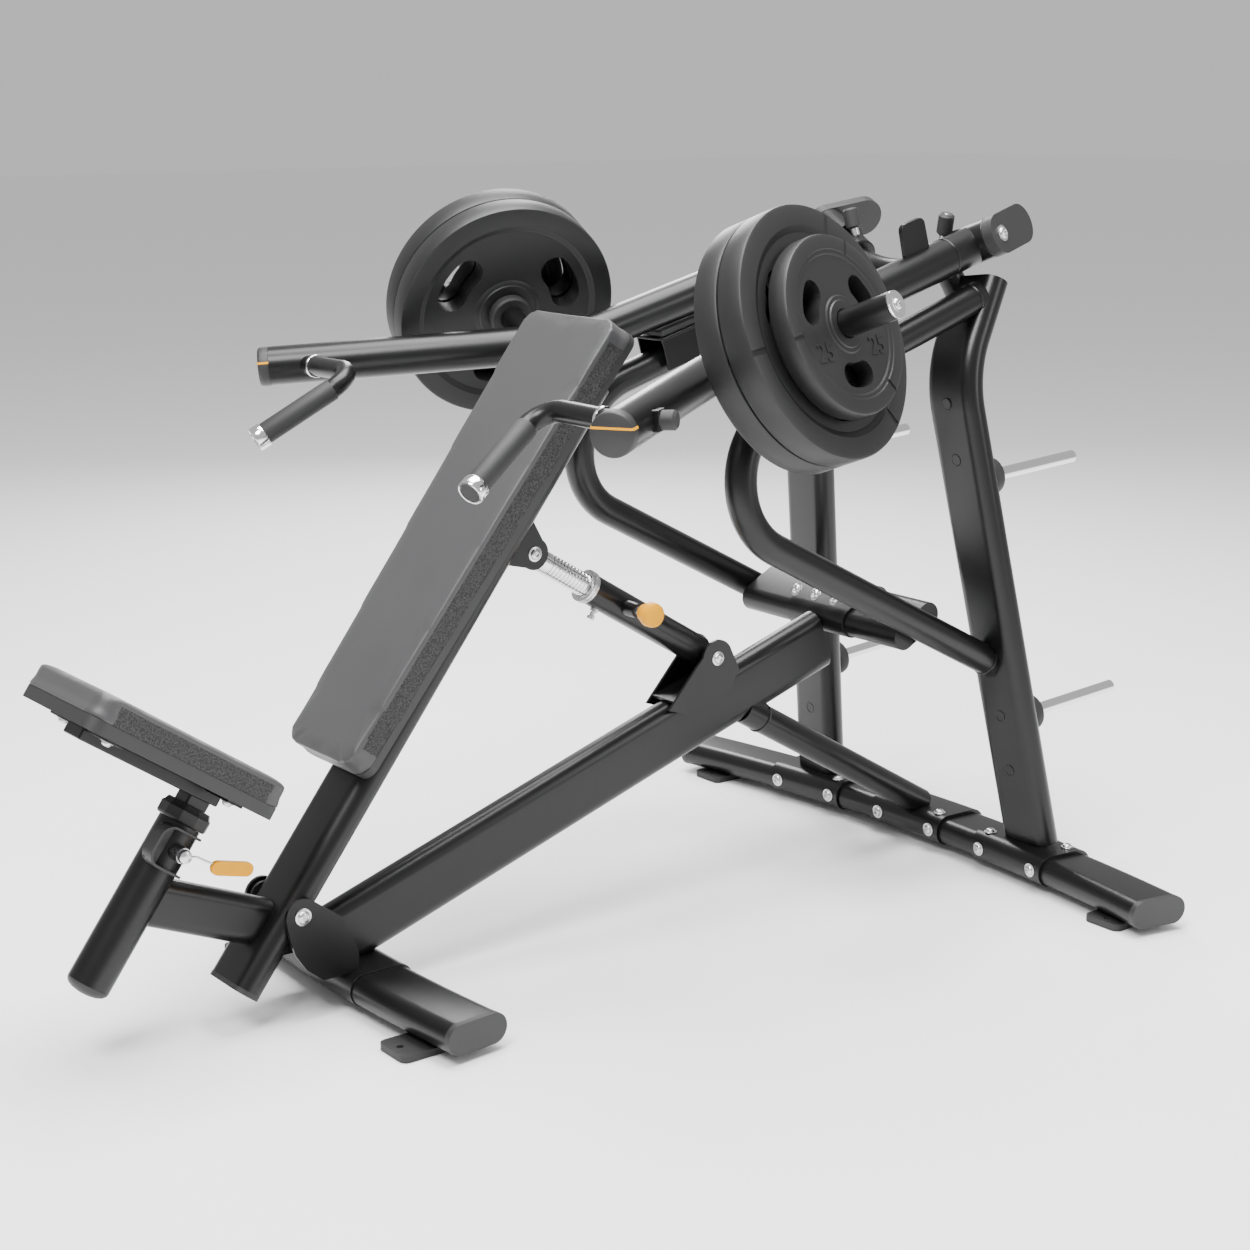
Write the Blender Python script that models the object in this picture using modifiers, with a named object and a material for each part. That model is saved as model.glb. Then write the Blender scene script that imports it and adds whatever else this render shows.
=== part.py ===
"""Plate-loaded incline chest press machine, in metres, +Z up.

+Y runs from the seat to the uprights and +X is the sitter's left. The origin is
on the floor, at the middle of the machine's box.
"""

from math import acos, atan2, cos, pi, radians, sin, tan

import bmesh
import bpy
from mathutils import Matrix, Vector

# Driving dimensions
GAP = 0.0003  # between neighbours that touch
MIDDLE_Y = 0.5722  # from the front foot's centre to the middle of the whole box
FLAT_WIDE, FLAT_THICK = 0.126, 0.055  # flat-oval frame tube
SIDES = 16  # of a round tube
SIDES_OF_MACHINE = ((1, "left"), (-1, "right"))
FOOT_HALF, FOOT_BOW = 0.382, 0.133
BASE_HALF, BASE_BOW, BASE_Y = 0.704, -0.137, 1.443
TUBE_Z = 0.044
PAD_HIGH = 0.0157
BEAM_SLOPE = radians(18.1)
BEAM_MID = Vector((0, 0.1285, 0.1687))
SADDLE_X = 0.317
PIVOT = Vector((0, -0.138, 0.1985))  # bench hinge
BENCH_ANGLE = radians(52.4)
BENCH_FOOT = Vector((0, -0.233, 0.075))
BENCH_LENGTH = 1.24
PAD_ANGLE = radians(52.3)
PAD_FACE = Vector((0, -0.0472, 0.4832))
STRUT_LOW = Vector((0, 0.8206, 0.5032))
STRUT_HIGH = Vector((0, 0.387, 0.767))
STRUT_OUTER_R, STRUT_ROD_R, STRUT_BORE_R = 0.0295, 0.0220, 0.0226
POST_LOW, POST_HIGH = Vector((0, -0.505, 0.140)), Vector((0, -0.3235, 0.3875))
POST_R = 0.038
SEAT_MID = Vector((0, -0.340, 0.564))
SEAT_ANGLE = radians(-34.4)
UPRIGHT_LOW, UPRIGHT_BEND, UPRIGHT_TOP = (0.3228, 1.4288, 0.079), (0.2145, 1.266, 1.045), (0.193, 1.352,
                                                                                           1.205)
SIDE_R, ARM_R = 0.030, 0.038
ARM_END, ARM_BEND = Vector((0.5604, 0.1817, 1.0699)), Vector((0.2338, 0.6787, 1.1106))
HUB = Vector((0.1987, 1.335, 1.293))
PRESS_AXIS = Vector((0.907, 0.2206, 0.3574)).normalized()
HORN_Q = Vector((0.4145, 0.6445, 1.1546))  # centre of the plate stack's inner face
HORN_R, HORN_BORE = 0.0245, 0.0253
BIG_R, BIG_THICK, SMALL_R, SMALL_THICK = 0.225, 0.0522, 0.1585, 0.0404

for old in list(bpy.data.objects):
    bpy.data.objects.remove(old, do_unlink=True)


def new_collection(name):
    coll = bpy.data.collections.new(name)
    bpy.context.scene.collection.children.link(coll)
    return coll


PARTS = new_collection("chest_press_machine")
CUTTERS = new_collection("cutters")
CUTTERS.hide_render = True


def material(name, colour, rough, metal=0.0):
    mat = bpy.data.materials.new(name)
    mat.use_nodes = True
    shader = mat.node_tree.nodes["Principled BSDF"]
    shader.inputs["Base Color"].default_value = (*colour, 1.0)
    shader.inputs["Roughness"].default_value = rough
    shader.inputs["Metallic"].default_value = metal
    return mat


FRAME_BLACK = material("frame_black", (0.012, 0.012, 0.013), 0.38)
PLASTIC = material("black_plastic", (0.030, 0.030, 0.032), 0.55)
LEATHER = material("leather", (0.035, 0.036, 0.038), 0.50)
RUBBER = material("rubber", (0.018, 0.018, 0.018), 0.75)
CAST = material("plate_black", (0.016, 0.016, 0.017), 0.50)
CHROME = material("chrome", (0.75, 0.75, 0.76), 0.18, 1.0)
STEEL = material("bolt_steel", (0.62, 0.62, 0.63), 0.30, 1.0)
YELLOW = material("yellow", (0.95, 0.50, 0.03), 0.45)


def empty(name, location, parent=None):
    obj = bpy.data.objects.new(name, None)
    PARTS.objects.link(obj)
    obj.location = location
    obj.parent = parent
    return obj


MACHINE = empty("machine", (0, -MIDDLE_Y, 0))


def mesh_object(name, bm, mat, coll=PARTS, smooth=35):
    bmesh.ops.recalc_face_normals(bm, faces=bm.faces)
    mesh = bpy.data.meshes.new(name)
    bm.to_mesh(mesh)
    bm.free()
    mesh.shade_smooth()
    mesh.set_sharp_from_angle(angle=radians(smooth))
    obj = bpy.data.objects.new(name, mesh)
    coll.objects.link(obj)
    obj.parent = MACHINE
    if mat:
        mesh.materials.append(mat)
    if coll is CUTTERS:
        obj.hide_render = True
        obj.display_type = "WIRE"
    return obj


def curve_mesh(name, data, mat, coll):
    """Turns a curve into a closed mesh object and removes the curve."""
    obj = bpy.data.objects.new(name + "_curve", data)
    bpy.context.scene.collection.objects.link(obj)
    evaluated = obj.evaluated_get(bpy.context.evaluated_depsgraph_get())
    mesh = bpy.data.meshes.new_from_object(evaluated)
    bpy.data.objects.remove(obj, do_unlink=True)
    bm = bmesh.new()
    bm.from_mesh(mesh)
    bpy.data.meshes.remove(mesh)
    bmesh.ops.remove_doubles(bm, verts=bm.verts, dist=0.00001)
    return mesh_object(name, bm, mat, coll)


def flat_section(wide, thick, arc=4):
    """A flat-oval outline, wide along its own X."""
    r = thick / 2
    half = wide / 2 - r
    points = [(half + r * sin(pi * i / arc), -r * cos(pi * i / arc)) for i in range(arc + 1)]
    points += [(-x, -y) for x, y in points]
    return outline_curve("section", points)


def outline_curve(name, points):
    data = bpy.data.curves.new(name, "CURVE")
    data.dimensions = "2D"
    spline = data.splines.new("POLY")
    spline.points.add(len(points) - 1)
    for point, (x, y) in zip(spline.points, points):
        point.co = (x, y, 0, 1)
    spline.use_cyclic_u = True
    return data


def rounded(points, radius, steps=5):
    """A path with each inner corner replaced by an arc of this radius."""
    points = [Vector(p) for p in points]
    path = [points[0]]
    for before, corner, after in zip(points, points[1:], points[2:]):
        a, b = (before - corner).normalized(), (after - corner).normalized()
        half = a.angle(b) / 2
        centre = corner + (a + b).normalized() * radius / sin(half)
        start = (corner + a * radius / tan(half) - centre).normalized()
        end = (corner + b * radius / tan(half) - centre).normalized()
        turn = start.angle(end)
        for i in range(steps + 1):
            share = i / steps
            arm = start * sin((1 - share) * turn) + end * sin(share * turn)
            path.append(centre + arm * radius / sin(turn))
    return path + [points[-1]]


def sweep(name, path, mat, radius=None, flat=None, tilt=0.0, sides=SIDES, coll=PARTS, upright=False):
    """A tube along a path: round with a radius, or flat-oval with (wide, thick), upright when it climbs."""
    data = bpy.data.curves.new(name, "CURVE")
    data.dimensions = "3D"
    data.twist_mode = "Z_UP" if flat and not upright else "MINIMUM"
    data.use_fill_caps = True
    if flat:
        section = bpy.data.objects.new(name + "_section", flat_section(*flat))
        bpy.context.scene.collection.objects.link(section)
        data.bevel_mode = "OBJECT"
        data.bevel_object = section
    else:
        data.bevel_depth = radius
        data.bevel_resolution = sides // 2 - 2
    spline = data.splines.new("POLY")
    spline.points.add(len(path) - 1)
    for point, co in zip(spline.points, path):
        point.co = (*co, 1)
        point.tilt = tilt
    obj = curve_mesh(name, data, mat, coll)
    if flat:
        bpy.data.objects.remove(section, do_unlink=True)
    return obj


def plate(name, points, thick, matrix, mat, coll=PARTS):
    """A flat outline in local XY, its thickness centred on the plane, placed by a matrix."""
    data = outline_curve(name, points)
    data.fill_mode = "BOTH"
    data.extrude = thick / 2
    obj = curve_mesh(name, data, mat, coll)
    obj.matrix_local = matrix
    return obj


def box(name, size, matrix, mat, coll=PARTS, bevel=0.0):
    bm = bmesh.new()
    bmesh.ops.create_cube(bm, size=1.0, matrix=Matrix.Diagonal((*size, 1.0)))
    if bevel:
        bmesh.ops.bevel(bm, geom=bm.edges, offset=bevel, segments=1, affect="EDGES", profile=0.5)
    obj = mesh_object(name, bm, mat, coll)
    obj.matrix_local = matrix
    return obj


def aim(start, direction):
    """A matrix at start whose local Z runs along direction."""
    turn = Vector(direction).to_track_quat("Z", "Y").to_matrix().to_4x4()
    return Matrix.Translation(start) @ turn


def rod(name, start, end, radius, mat, sides=SIDES, coll=PARTS, top=None):
    """A round bar from start to end, or a cone when top gives the far radius."""
    start, end = Vector(start), Vector(end)
    length = (end - start).length
    bm = bmesh.new()
    bmesh.ops.create_cone(bm, cap_ends=True, segments=sides, radius1=radius,
                          radius2=radius if top is None else top, depth=length,
                          matrix=Matrix.Translation((0, 0, length / 2)))
    obj = mesh_object(name, bm, mat, coll)
    obj.matrix_local = aim(start, end - start)
    return obj


def turned(name, profile, matrix, mat, sides=SIDES, coll=PARTS):
    """A closed profile of (radius, height), turned about local Z with a Screw modifier."""
    bm = bmesh.new()
    verts = [bm.verts.new((r, 0, z)) for r, z in profile]
    for a, b in zip(verts, verts[1:] + verts[:1]):
        bm.edges.new((a, b))
    mesh = bpy.data.meshes.new(name)
    bm.to_mesh(mesh)
    bm.free()
    obj = bpy.data.objects.new(name, mesh)
    bpy.context.scene.collection.objects.link(obj)
    screw = obj.modifiers.new("turn", "SCREW")
    screw.steps = screw.render_steps = sides
    screw.merge_threshold = 0.0001
    screw.use_merge_vertices = True
    result = bpy.data.meshes.new_from_object(obj.evaluated_get(bpy.context.evaluated_depsgraph_get()))
    bpy.data.objects.remove(obj, do_unlink=True)
    bm = bmesh.new()
    bm.from_mesh(result)
    bpy.data.meshes.remove(result)
    bmesh.ops.remove_doubles(bm, verts=bm.verts, dist=0.00001)
    obj = mesh_object(name, bm, mat, coll)
    obj.matrix_local = matrix
    return obj


def boolean(target, other, operation="DIFFERENCE"):
    mod = target.modifiers.new(operation.lower(), "BOOLEAN")
    mod.operation = operation
    mod.object = other
    other.hide_render = True
    other.display_type = "WIRE"


def join(name, mat, *pieces):
    """One solid made of several that run into each other."""
    first = pieces[0]
    for piece in pieces[1:]:
        for coll in list(piece.users_collection):
            coll.objects.unlink(piece)
        CUTTERS.objects.link(piece)
        piece.name = name + "_piece"
        boolean(first, piece, "UNION")
    first.name = name
    first.data.materials.clear()
    first.data.materials.append(mat)
    return first


def cope(target, *neighbours, gap=0.0005):
    """Cuts the end of a piece to fit its neighbours, leaving a small gap."""
    for other in neighbours:
        bpy.context.view_layer.update()
        solid = bpy.data.meshes.new_from_object(other.evaluated_get(bpy.context.evaluated_depsgraph_get()))
        bm = bmesh.new()
        bm.from_mesh(solid)
        bpy.data.meshes.remove(solid)
        bm.normal_update()
        shifts = [(v, v.normal * gap) for v in bm.verts]
        for vert, shift in shifts:
            vert.co += shift
        cutter = mesh_object(other.name + "_relief", bm, None, CUTTERS)
        cutter.matrix_local = other.matrix_local
        boolean(target, cutter)


def drill(target, start, end, radius, sides=10):
    boolean(target, rod("hole", start, end, radius, None, sides, CUTTERS))


def side(s, v):
    return Vector((s * v[0], v[1], v[2]))


def round_plate(centres, radii, arc=10):
    """The outline round two circles, in local XY."""
    (x1, y1), (x2, y2) = centres
    r1, r2 = radii
    run = Vector((x2 - x1, y2 - y1))
    base = atan2(run.y, run.x)
    tip = (r1 - r2) / run.length
    spread = acos(tip)
    first = [base + spread + (2 * pi - 2 * spread) * i / arc for i in range(arc + 1)]
    second = [base - spread + 2 * spread * i / arc for i in range(arc + 1)]
    return ([(x1 + r1 * cos(t), y1 + r1 * sin(t)) for t in first]
            + [(x2 + r2 * cos(t), y2 + r2 * sin(t)) for t in second])


def side_plane(x):
    """Local X along +Y, local Y along +Z, local Z along +X, in the plane at x."""
    return Matrix(((0, 0, 1, x), (1, 0, 0, 0), (0, 1, 0, 0), (0, 0, 0, 1)))


def arc_path(half, bow, y, z=TUBE_Z, steps=8):
    xs = [-half + 2 * half * i / steps for i in range(steps + 1)]
    return [(x, y + bow * x * x, z) for x in xs]


def arc_place(x, bow, y, z):
    """A matrix on a bowed base at x, its local X along the base."""
    return Matrix.Translation((x, y + bow * x * x, z)) @ Matrix.Rotation(atan2(2 * bow * x, 1), 4, "Z")


def along(start, angle, run, drop=0.0):
    """A point in the middle plane: run along a line at this angle, drop behind it."""
    return start + Vector((0, cos(angle) * run + sin(angle) * drop, sin(angle) * run - cos(angle) * drop))


def tilted(point, angle):
    """Local X along +X, local Y along a line at this angle in the YZ plane, local Z off its face."""
    return Matrix.Translation(point) @ Matrix.Rotation(angle, 4, "X")


# Bases
FLAT = (FLAT_WIDE, FLAT_THICK)


def base(name, half, bow, y, pad_x, pad_front, pad_back):
    for s, word in SIDES_OF_MACHINE:
        size = (0.085, pad_back - pad_front, PAD_HIGH)
        centre = (s * pad_x, (pad_front + pad_back) / 2, PAD_HIGH / 2)
        box(name.split("_")[0] + "_pad_" + word, size, Matrix.Translation(centre), RUBBER, bevel=0.003)
    return sweep(name, arc_path(half, bow, y), FRAME_BLACK, flat=FLAT)


front_foot = base("front_foot", FOOT_HALF, FOOT_BOW, 0.0, 0.285, -0.095, 0.045)
rear_base = base("rear_base", BASE_HALF, BASE_BOW, BASE_Y, 0.608, 1.318, 1.456)

# Saddles that carry the uprights and the brace on the rear base
SADDLE_SIZE = (0.214, 0.137, 0.058)
saddle_rooms = {}
for s, word in ((0, "middle"), *SIDES_OF_MACHINE):
    place = arc_place(s * SADDLE_X, BASE_BOW, BASE_Y, 0.0490)
    cope(box("saddle_" + word, SADDLE_SIZE, place, FRAME_BLACK, bevel=0.004), rear_base)
    room = [size + 2 * GAP for size in SADDLE_SIZE]
    saddle_rooms[s] = box("saddle_room", room, place, None, CUTTERS)

# Main beam and brace
beam = sweep("main_beam", [along(BEAM_MID, BEAM_SLOPE, run) for run in (-0.155, 0.4, 1.045)], FRAME_BLACK,
             flat=FLAT, tilt=pi / 2)
cope(beam, front_foot)
brace = sweep("rear_brace", [(0, 0.925, 0.372), (0, 1.443, 0.0689)], FRAME_BLACK, radius=0.0295)
cope(brace, beam)
boolean(brace, saddle_rooms[0])

# Uprights, in their leaning planes
uprights = {}
for s, word in SIDES_OF_MACHINE:
    low, bend, top = (Vector(side(s, p)) for p in (UPRIGHT_LOW, UPRIGHT_BEND, UPRIGHT_TOP))
    lean = atan2(bend.x - low.x, bend.z - low.z)
    turn = Matrix.Rotation(lean, 4, "Y")
    back = turn.inverted()
    path = rounded([back @ (p - low) for p in (low - (bend - low) * 0.01, bend, top)], 0.20)
    path = [Vector((0, p.y, p.z)) for p in path]
    upright = sweep("upright_" + word, path, FRAME_BLACK, flat=FLAT, upright=True)
    upright.matrix_local = Matrix.Translation(low) @ turn
    boolean(upright, saddle_rooms[s])
    uprights[s] = upright

# Side tubes that bend round from the uprights to carry the rest blocks
side_tubes = {}
SIDE_PATH = ((0.270, 1.352, 0.4555), (0.250, 0.471, 0.922), (0.225, 1.322, 1.194))
for s, word in SIDES_OF_MACHINE:
    tube = sweep("side_tube_" + word, rounded([side(s, p) for p in SIDE_PATH], 0.145, 6), FRAME_BLACK,
                 radius=SIDE_R)
    cope(tube, uprights[s])
    side_tubes[s] = tube

# Crossmember between the side tubes, carried by the beam
CROSS = Vector((0, 1.170, 0.553))
CROSS_TILT = radians(-28)
cross_tube = sweep("crossmember", [(-0.262, *CROSS.yz), (0.262, *CROSS.yz)], FRAME_BLACK, flat=FLAT,
                   tilt=-CROSS_TILT)
cross_saddle = box("saddle", (0.17, 0.137, 0.058),
                   tilted(CROSS, CROSS_TILT) @ Matrix.Translation((0, 0, 0.005)),
                   FRAME_BLACK, bevel=0.004)
cross = join("crossmember", FRAME_BLACK, cross_tube, cross_saddle)
cope(cross, side_tubes[1], side_tubes[-1])
cope(beam, cross)

# Pivot blocks at the top, the tube between them and the stop knobs
blocks = {}
for s, word in SIDES_OF_MACHINE:
    n = side(s, PRESS_AXIS)
    hub = side(s, HUB)
    block = rod("pivot_block_" + word, hub - n * 0.108, hub - n * 0.056, 0.0345, FRAME_BLACK)
    neck = rod("neck", side(s, (0.128, 1.318, 1.262)), side(s, (0.150, 1.345, 1.190)), 0.026, FRAME_BLACK)
    knob = rod("stop_knob", side(s, (0.120, 1.323, 1.275)), side(s, (0.141, 1.314, 1.350)), 0.0150, RUBBER,
               12)
    block = join("pivot_block_" + word, FRAME_BLACK, block, neck, knob)
    blocks[s] = block
    cope(uprights[s], block)
TOP_PATH = [(x, 1.3080,
             1.2555 - 0.026 * cos(pi * x / 0.26)) for x in [-0.118 + 0.236 * i / 8 for i in range(9)]]
top_tube = sweep("top_cross_tube", TOP_PATH, FRAME_BLACK, radius=0.0265)
cope(top_tube, blocks[1], blocks[-1])

# Storage horns behind the uprights
for s, word in SIDES_OF_MACHINE:
    for level, x, y, z, far in (("upper", 0.2385, 1.3325, 0.834, 0.262),
                                ("lower", 0.2925, 1.4145, 0.342, 0.268)):
        start = side(s, (x, y, z))
        run = side(s, (0.02, 1.0, 0.075)).normalized()
        horn = rod("horn", start + run * 0.0022, start + run * far, 0.0125, CHROME, 12)
        profile = [(0, 0.006), (0.036, 0.006), (0.038, 0.012), (0.038, 0.026), (0.036, 0.034), (0, 0.034)]
        collar = turned("collar", profile, aim(start, run), RUBBER, 14)
        join("storage_horn_" + level + "_" + word, CHROME, horn, collar)

# Rest blocks under the arms
REST_SLOPE = radians(15.6)
REST_MID = Vector((0.2290, 0.920, 1.1385))
for s, word in SIDES_OF_MACHINE:
    place = tilted(side(s, REST_MID), REST_SLOPE)
    bracket = box("rest_bracket_" + word, (0.088, 0.130, 0.082),
                  place @ Matrix.Translation((s * 0.006, 0, -0.0555)),
                  FRAME_BLACK, bevel=0.004)
    cope(bracket, side_tubes[s])
    box("rest_rubber_" + word, (0.074, 0.118, 0.0125), place @ Matrix.Translation((s * 0.004, 0, -0.0079)),
        RUBBER,
        bevel=0.003)

# Pivot bracket of the bench, on the front foot
BRACKET = ((-0.102, 0.0725), (-0.030, 0.0725), (-0.030, 0.112), (-0.062, 0.182))
BRACKET_ARC = [(PIVOT.y + 0.0325 * cos(a), PIVOT.z + 0.0325 * sin(a))
               for a in [radians(55 + 130 * i / 8) for i in range(9)]]
outline = BRACKET_ARC + [(-0.163, 0.150), (-0.138, 0.104), *BRACKET[:4]]
plates = [plate("bracket_plate", outline, 0.007, side_plane(s * 0.0740), FRAME_BLACK) for s in (1, -1)]
web = box("bracket_web", (0.149, 0.007, 0.080),
          Matrix.Translation((0, -0.052, 0.137)) @ Matrix.Rotation(radians(25), 4, "X"), FRAME_BLACK)
pivot_bracket = join("pivot_bracket", FRAME_BLACK, plates[0], web, plates[1])
cope(pivot_bracket, front_foot)
cope(beam, pivot_bracket)
drill(pivot_bracket, PIVOT + Vector((-0.09, 0, 0)), PIVOT + Vector((0.09, 0, 0)), 0.0088)

# Bracket of the strut on the beam
STRUT_RUN = (STRUT_HIGH - STRUT_LOW).normalized()
ears = [plate("ear", [(STRUT_LOW.y + 0.037 * cos(t), STRUT_LOW.z + 0.037 * sin(t))
                      for t in [radians(20 + 150 * i / 10) for i in range(11)]]
              + [(p.y, p.z) for p in (along(BEAM_MID, BEAM_SLOPE, 0.62, -0.058),
                                      along(BEAM_MID, BEAM_SLOPE, 0.66, -0.028),
                                      along(BEAM_MID, BEAM_SLOPE, 0.77, -0.028),
                                      along(BEAM_MID, BEAM_SLOPE, 0.805, -0.058))],
              0.006, side_plane(s * 0.0355), FRAME_BLACK) for s in (1, -1)]
floor_plate = box("floor_plate", (0.074, 0.150, 0.006),
                  tilted(along(BEAM_MID, BEAM_SLOPE, 0.712, -0.0667), BEAM_SLOPE),
                  FRAME_BLACK)
strut_clevis = join("strut_clevis", FRAME_BLACK, ears[0], floor_plate, ears[1])
cope(strut_clevis, beam)
drill(strut_clevis, STRUT_LOW + Vector((-0.05, 0, 0)), STRUT_LOW + Vector((0.05, 0, 0)), 0.0068)

# Bench: tube, cap, strut lugs, seat support and post
BENCH_TOP = along(BENCH_FOOT, BENCH_ANGLE, BENCH_LENGTH)
bench_tube = sweep("bench_tube", [BENCH_FOOT, along(BENCH_FOOT, BENCH_ANGLE, 0.6), BENCH_TOP], FRAME_BLACK,
                   flat=FLAT)
drill(bench_tube, PIVOT + Vector((-0.09, 0, 0)), PIVOT + Vector((0.09, 0, 0)), 0.0088)
rod("pivot_pin", PIVOT + Vector((-0.0840, 0, 0)), PIVOT + Vector((0.0840, 0, 0)), 0.0080, STEEL, 10)
lug_points = [(STRUT_HIGH.y + 0.030 * cos(t), STRUT_HIGH.z + 0.030 * sin(t))
              for t in [BENCH_ANGLE - pi + radians(180 * i / 10) for i in range(11)]]
lug_points += [(p.y, p.z) for p in (along(BENCH_FOOT, BENCH_ANGLE, 0.975, 0.0285),
                                    along(BENCH_FOOT, BENCH_ANGLE, 0.878, 0.0285))]
lugs = [plate("lug", lug_points, 0.006, side_plane(s * 0.0355), FRAME_BLACK) for s in (1, -1)]
lug_floor = box("lug_floor", (0.077, 0.10, 0.005),
                tilted(along(BENCH_FOOT, BENCH_ANGLE, 0.9265, 0.0307), BENCH_ANGLE),
                FRAME_BLACK)
join("strut_lugs", FRAME_BLACK, lugs[0], lug_floor, lugs[1])

POST_RUN = (POST_HIGH - POST_LOW).normalized()
post = rod("seat_post", POST_LOW, POST_HIGH, POST_R, FRAME_BLACK, 20)
support = sweep("seat_support", [(0, -0.4030, 0.2700), (0, -0.1620, 0.1688)], FRAME_BLACK,
                flat=(0.088, 0.050), tilt=pi / 2)
cope(support, post, bench_tube)
STEM, STEM_ROOM = 0.0440, 0.0450
boolean(post, box("post_bore", (STEM_ROOM, STEM_ROOM, 0.40), aim(POST_LOW + POST_RUN * 0.225, POST_RUN),
                  None, CUTTERS))
collar_profile = [(0.0340, 0), (0.045, 0), (0.047, 0.006), (0.047, 0.024), (0.039, 0.034), (0.0340, 0.034)]
post_collar = turned("post_collar", collar_profile, aim(POST_HIGH + POST_RUN * GAP, POST_RUN), PLASTIC, 12)
PIN_AT = POST_HIGH - POST_RUN * 0.045
guard = box("guard", (0.030, 0.078, 0.076), aim(PIN_AT + Vector((0.0410, -0.012, 0.009)), POST_RUN),
            PLASTIC, bevel=0.006)
boss = rod("boss", PIN_AT + Vector((0.0450, 0, 0)), PIN_AT + Vector((0.0640, 0, 0)), 0.0145, PLASTIC, 12)
pin_guard = join("pin_guard", PLASTIC, guard, boss)
cope(pin_guard, post, post_collar)
for piece in (post, pin_guard):
    drill(piece, PIN_AT, PIN_AT + Vector((0.08, 0, 0)), 0.0068)

# Seat pin with its wire ring and tab
pin = rod("pin", PIN_AT + Vector((0.0235, 0, 0)), PIN_AT + Vector((0.0700, 0, 0)), 0.0062, STEEL, 10)
pin_head = rod("head", PIN_AT + Vector((0.0650, 0, 0)), PIN_AT + Vector((0.0740, 0, 0)), 0.0115, STEEL, 12)
WIRE = [PIN_AT + Vector(p) for p in ((0.0720, 0.0, 0.0), (0.0740, 0.030, -0.006), (0.0740, 0.050, -0.0260))]
pin_wire = sweep("wire", rounded(WIRE, 0.015, 5), STEEL, radius=0.0020, sides=6)
pin_tab = plate("tab", round_plate(((0, 0), (0.052, 0)), (0.012, 0.012), 6), 0.009,
                Matrix.Translation(PIN_AT + Vector((0.0740, 0.0590, -0.0330))) @ side_plane(0)
                @ Matrix.Rotation(radians(-14), 4, "Z"), YELLOW)
join("seat_pin", STEEL, pin, pin_head, pin_wire, pin_tab)

# Seat
seat_plane = tilted(SEAT_MID, SEAT_ANGLE)
STEM_BELOW, STEM_ABOVE = 0.185, 0.070
stem_mid = POST_HIGH + POST_RUN * (STEM_ABOVE - STEM_BELOW) / 2
stem = box("stem", (STEM, STEM, STEM_ABOVE + STEM_BELOW), aim(stem_mid, POST_RUN), FRAME_BLACK, bevel=0.003)
seat_bar = box("seat_bar", (0.062, 0.290, 0.022), seat_plane @ Matrix.Translation((0, 0, -0.0765)),
               FRAME_BLACK, bevel=0.004)
seat_bracket = join("seat_stem", FRAME_BLACK, stem, seat_bar)
boolean(seat_bracket, rod("stem_holes", PIN_AT + Vector((0.005, 0, 0)), PIN_AT + Vector((0.03, 0, 0)),
                          0.0070, None, 16, CUTTERS))


def pad_outline(low_half, high_half, length, corner, arc=5):
    """A tapered pad seen from its face, its lower end at local Y 0."""
    corners = ((low_half, 0, -pi / 2), (high_half, length, 0), (-high_half, length, pi / 2),
               (-low_half, 0, pi))
    points = []
    for x, y, start in corners:
        cx = x - corner if x > 0 else x + corner
        cy = y + corner if y == 0 else y - corner
        points += [(cx + corner * cos(start + pi / 2 * i / arc),
                    cy + corner * sin(start + pi / 2 * i / arc))
                   for i in range(arc + 1)]
    return points


SEAT_LONG, SEAT_HALF = 0.400, 0.142
plate("seat_shell", pad_outline(SEAT_HALF - 0.004, SEAT_HALF - 0.004, SEAT_LONG - 0.008, 0.030), 0.0195,
      seat_plane @ Matrix.Translation((0, -SEAT_LONG / 2 + 0.004, -0.0550)), PLASTIC)
plate("seat_pad", pad_outline(SEAT_HALF, SEAT_HALF, SEAT_LONG, 0.034), 0.0440,
      seat_plane @ Matrix.Translation((0, -SEAT_LONG / 2, -0.0225)), LEATHER)

# Back pad and its shell
BACK_LOW, BACK_HIGH, BACK_LONG = 0.1150, 0.1430, 0.930
back_plane = tilted(along(PAD_FACE, PAD_ANGLE, -0.027), PAD_ANGLE)
plate("back_pad", pad_outline(BACK_LOW, BACK_HIGH, BACK_LONG, 0.030), 0.0475,
      back_plane @ Matrix.Translation((0, 0, -0.0240)), LEATHER)
shell = plate("shell", pad_outline(BACK_LOW - 0.003, BACK_HIGH - 0.003, BACK_LONG - 0.006, 0.028), 0.0120,
              back_plane @ Matrix.Translation((0, 0.003, -0.0542)), PLASTIC)
spine = box("spine", (0.090, 0.70, 0.018), back_plane @ Matrix.Translation((0, 0.45, -0.0655)), PLASTIC)
back_shell = join("back_shell", PLASTIC, shell, spine)
cope(back_shell, bench_tube)

# Strut
STRUT_TURN = aim(STRUT_LOW, STRUT_RUN)
outer = turned("strut_outer", [(0.0, 0.020), (STRUT_OUTER_R, 0.020), (STRUT_OUTER_R, 0.336),
                               (0.0325, 0.337),
                               (0.0325, 0.347), (STRUT_BORE_R, 0.347), (STRUT_BORE_R, 0.034),
                               (0.0, 0.034)][::-1],
               STRUT_TURN, FRAME_BLACK, 16)
eye = rod("eye", STRUT_LOW + Vector((-0.0290, 0, 0)), STRUT_LOW + Vector((0.0290, 0, 0)), 0.0245,
          FRAME_BLACK, 16)
KNOB_AT = STRUT_LOW + STRUT_RUN * 0.250
boss = rod("boss", KNOB_AT + Vector((0.0250, 0, 0)), KNOB_AT + Vector((0.0600, 0, 0)), 0.0140, STEEL, 12)
outer = join("strut_outer", FRAME_BLACK, outer, eye, boss)
drill(outer, STRUT_LOW + Vector((-0.05, 0, 0)), STRUT_LOW + Vector((0.05, 0, 0)), 0.0068)
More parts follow.
